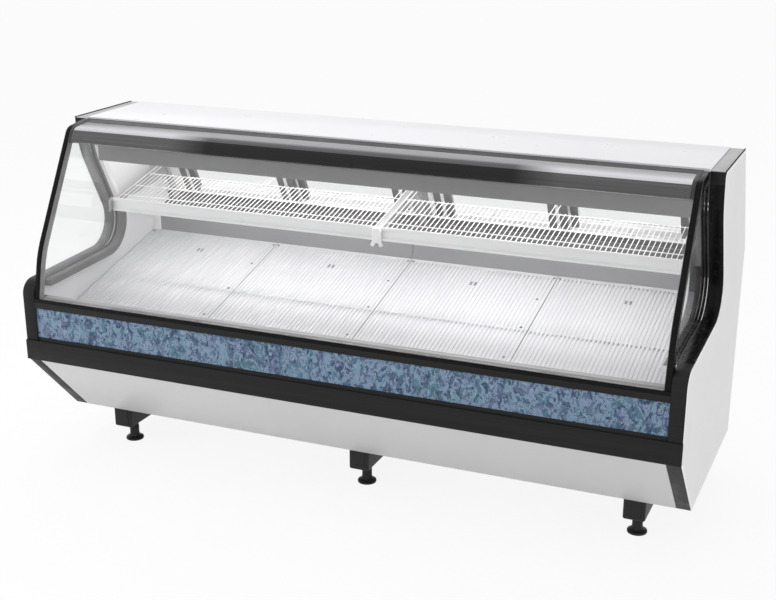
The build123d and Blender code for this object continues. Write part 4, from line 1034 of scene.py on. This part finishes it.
def makeDoors(d):
    kink = at(0, *d["kink"])
    basis = Matrix((Vector((1, 0, 0)), d["up"], -d["inward"])).transposed().to_4x4()
    for number, (left, right, face) in enumerate(d["doors"], start=1):
        inner = (left + d["stile"], right - d["stile"])

        # painted light: the rails between the stiles are white, so they read as the bright backdrop seen
        # through the panes
        def paintRailsPaintedLight(bm):
            for x in inner:
                splitAt(bm, x)
            secondLook(bm, lambda spot, normal: inner[0] < spot.x * 1000 < inner[1])

        node = f"door_frame_{number}"
        softened(node, f"doorFrame{number}", ("door_profile", "liner_white"), "door_profile", d["round"],
                 paintRailsPaintedLight)
        reach = [(v.co - kink).dot(d["up"]) for v in nodes[node].data.vertices]
        low, high = min(reach) + d["ends"] / 1000, max(reach) - d["ends"] / 1000

        def strip(bm, x, along, wide, tall):
            spot = kink + d["inward"] * (face + d["thick"] / 2) / 1000 + d["up"] * along
            spot.x = x / 1000
            block(bm, Matrix.Translation(spot) @ basis, (wide / 1000, tall, d["thick"] / 1000), 0.5)

        bm = bmesh.new()
        for middle in (left + d["stile"] / 2, right - d["stile"] / 2):
            strip(bm, middle, (low + high) / 2, d["seal"], high - low)
        newPiece(f"doorSeal{number}", bm, "seal_white", f"door_{number}")
        bm = bmesh.new()
        strip(bm, sum(inner) / 2, d["beadAlong"][face] / 1000, inner[1] - inner[0], d["bead"] / 1000)
        newPiece(f"doorBead{number}", bm, "bead_grey", f"door_{number}")

    # the inner lip of the sill is painted dark, standing in for the dark bottom rails of the doors and for
    # painted shade below them
    def sillPaintedShade(bm):
        secondLook(bm, lambda spot, normal: spot.z < d["sillBelow"] and normal.dot(d["inward"]) > 0.9
                   and (spot - kink).dot(d["inward"]) > d["lipIn"])

    softened("door_tracks", "doorTracks", ("liner_white", "sill_dark"), "door_profile", 0.5, sillPaintedShade)


def makeAirGrille(g):
    bm = bmesh.new()
    extruded(bm, g["outline"], (-g["half"], g["half"]))
    low, high = (Vector(p) for p in g["outline"][2:4])
    out = Vector((low.y - high.y, high.x - low.x)).normalized()
    thick, tall = g["slat"]
    first, last = g["slatFrom"]
    blade = [low + (high - low) * share + out * lift
             for share, lift in ((first, 0), (first, tall), (last, tall), (last, 0))]
    for n in range(int(2 * g["half"] / g["slatPitch"])):
        x = -g["half"] + (n + 0.5) * g["slatPitch"]
        extruded(bm, blade, (x - thick / 2, x + thick / 2))
    newPiece("airGrille", bm, "sill_dark")


makeDoors(rearDoors)
makeAirGrille(airGrille)
print("doors fitted")


# legs and feet
legSet = {
    "places": (-1050.0, 0.0, 1050.0),
    "half": 40.0,
    "depths": (305.0, 1000.0),
    "heights": (80.0, 170.0),
    "round": 8.0,
    "plugInset": 6.0,
    "plugProud": 2.0,
}
footSet = {
    "depths": (("front", 384.0), ("rear", 910.0)),
    "sides": (("left", -1050.0), ("middle", 0.0), ("right", 1050.0)),
    "outline": ((0.0, 0.0), (33.5, 0.0), (35.4, 0.8), (36.0, 2.4), (36.0, 7.0), (35.2, 8.8), (33.0, 10.0),
                (27.0, 12.5), (22.5, 17.0), (19.8, 23.0), (19.0, 29.0), (19.0, 58.0), (18.2, 60.0),
                (9.0, 60.0)),
    "nut": (60.5, 75.5, 17.5),
    "stem": (8.0, 60.0, 140.0),
}


def makeLegs(s):
    bm = bmesh.new()
    for x in s["places"]:
        low = at(x - s["half"], s["depths"][0], s["heights"][0])
        high = at(x + s["half"], s["depths"][1], s["heights"][1])
        made = block(bm, Matrix.Translation((low + high) / 2), high - low)
        edges = [e for e in edgesAround(made) if min(v.co.z for v in e.verts) < low.z + 1e-4
                 or abs(e.verts[0].co.x - e.verts[1].co.x) < 1e-5]
        roundEdges(bm, edges, s["round"], 4)
    ends = [f for f in bm.faces if abs(f.normal.y) > 0.99 and f.calc_area() > 2e-3]
    bmesh.ops.inset_individual(bm, faces=ends, thickness=s["plugInset"] / 1000, use_even_offset=True)
    for f in ends:
        pushed(bm, [f], f.normal * s["plugProud"] / 1000)
        if f.is_valid and not any(len(e.link_faces) == 1 for e in f.edges):
            bmesh.ops.delete(bm, geom=[f], context="FACES_ONLY")
    newPiece("legRails", bm, "black_steel", stands=("leg_rails",))


def makeFeet(s):
    for row, depth in s["depths"]:
        for place, x in s["sides"]:
            bm = bmesh.new()
            turnedShape(bm, (x, depth), s["outline"], 36)
            low, high, radius = s["nut"]
            made = bmesh.ops.create_cone(bm, cap_ends=True, segments=6, radius1=radius / 1000,
                                         radius2=radius / 1000, depth=(high - low) / 1000,
                                         matrix=Matrix.Translation(at(x, depth, (low + high) / 2)))
            roundEdges(bm, edgesAround(made), 0.8)
            radius, low, high = s["stem"]
            rod(bm, at(x, depth, low), at(x, depth, high), radius, 20)
            node = f"foot_{row}_{place}"
            name = "levelFoot" + row.title() + place.title()
            newPiece(name, bm, "foot_black", node, (node,))


makeLegs(legSet)
makeFeet(footSet)
print("legs and feet made")


# back of the case: skin panels, screws and louvre hoods
backSkin = {
    "panels": ((-1194.0, -400.0), (-398.0, 398.0), (400.0, 1194.0)),
    "depths": (1016.0, 1017.4),
    "heights": (461.0, 902.0),
    "screwInset": 24.0,
    "screwHead": (4.6, 3.2, 1.6),
    "hoodColumns": (-890.0, -570.0, -250.0, 70.0, 390.0),
    "hoodRows": 9,
    "hoodPitch": 22.0,
    "hoodMiddle": 310.0,
    "hoodHalf": 129.0,
    "hoodProfile": ((1015.6, 4.6), (1018.4, 3.4), (1019.5, -1.5), (1019.5, -4.0), (1018.8, -4.0),
                    (1018.8, -1.2), (1018.0, 2.6), (1015.6, 3.6)),
}


def makeBack(s):
    bm = bmesh.new()
    for xs in s["panels"]:
        softBox(bm, xs, s["depths"], s["heights"], 0.6)
    newPiece("backSkins", bm, "back_enamel")

    bm = bmesh.new()
    wide, narrow, tall = (v / 1000 for v in s["screwHead"])
    inset = s["screwInset"]
    facing = Matrix.Translation((0, tall / 2, 0)) @ Matrix.Rotation(-math.pi / 2, 4, "X")
    for xs in s["panels"]:
        for x in (xs[0] + inset, sum(xs) / 2, xs[1] - inset):
            for height in (s["heights"][0] + inset, s["heights"][1] - inset):
                place = Matrix.Translation(at(x, s["depths"][1], height)) @ facing
                bmesh.ops.create_cone(bm, cap_ends=True, segments=20, radius1=wide, radius2=narrow,
                                      depth=tall, matrix=place)
    newPiece("backScrews", bm, "screw_steel")

    bm = bmesh.new()
    for x in s["hoodColumns"]:
        for row in range(s["hoodRows"]):
            height = s["hoodMiddle"] + (row - (s["hoodRows"] - 1) / 2) * s["hoodPitch"]
            outline = [(d, height + h) for d, h in s["hoodProfile"]]
            extruded(bm, outline, (x - s["hoodHalf"], x + s["hoodHalf"]))
    newPiece("louvreHoods", bm, "galvanised")


makeBack(backSkin)
print("back fitted")


# studio
studio = {
    "sky": 0.72,
    "floorColour": (0.95, 0.95, 0.95),
    "floorHalf": 40.0,
    "floorGlow": 0.88,
    "lamps": (
        ("topBox", (-1.2, 0.7, 4.2), (-0.3, 0.2, 0.6), (4.0, 3.0), 42.0),
        ("leftBox", (-4.2, -3.2, 2.6), (-0.4, 0, 0.7), (2.6, 2.2), 55.0),
        ("rightBox", (4.6, -1.6, 2.2), (0.6, 0, 0.7), (2.2, 2.2), 14.0),
        ("frontBox", (0.2, -5.4, 2.4), (0, 0, 0.8), (3.6, 2.0), 28.0),
    ),
}


def plainlySeen(tree):
    # one for rays that look at the backdrop, none for rays that light the case
    rays = tree.nodes.new("ShaderNodeLightPath")
    looks = sums(tree, "MAXIMUM", rays.outputs["Is Camera Ray"], rays.outputs["Is Transmission Ray"])
    return sums(tree, "MAXIMUM", looks, rays.outputs["Is Glossy Ray"])


def makeStudio(s):
    world = bpy.data.worlds.new("studioSky")
    scene.world = world
    world.use_nodes = True
    tree = world.node_tree
    sky = setUp(tree.nodes["Background"], {"Color": (1, 1, 1, 1), "Strength": s["sky"]})
    seen = setUp(tree.nodes.new("ShaderNodeBackground"), {"Color": (1, 1, 1, 1), "Strength": 1.0})
    shadedBy(tree, "World Output", plainlySeen(tree), sky, seen)

    mat = bpy.data.materials.new("paleFloor")
    mat.use_nodes = True
    tree = mat.node_tree
    shader = setUp(tree.nodes["Principled BSDF"], {"Base Color": (*s["floorColour"], 1), "Roughness": 0.9})
    glow = tree.nodes.new("ShaderNodeEmission")
    share = sums(tree, "MULTIPLY", plainlySeen(tree), s["floorGlow"])
    shadedBy(tree, "Material Output", share, shader, glow)
    bm = bmesh.new()
    bmesh.ops.create_grid(bm, x_segments=1, y_segments=1, size=s["floorHalf"])
    mesh = bpy.data.meshes.new("paleFloor")
    bm.to_mesh(mesh)
    bm.free()
    floor = bpy.data.objects.new("paleFloor", mesh)
    floor.data.materials.append(mat)
    scene.collection.objects.link(floor)

    for name, place, target, size, power in s["lamps"]:
        data = bpy.data.lights.new(name, "AREA")
        data.shape = "RECTANGLE"
        data.size, data.size_y = size
        data.energy = power
        lamp = aimed(name, data, place, Vector(target) - Vector(place))
        lamp.visible_glossy = False


makeStudio(studio)
scene.view_settings.view_transform = "Standard"
print("studio set")
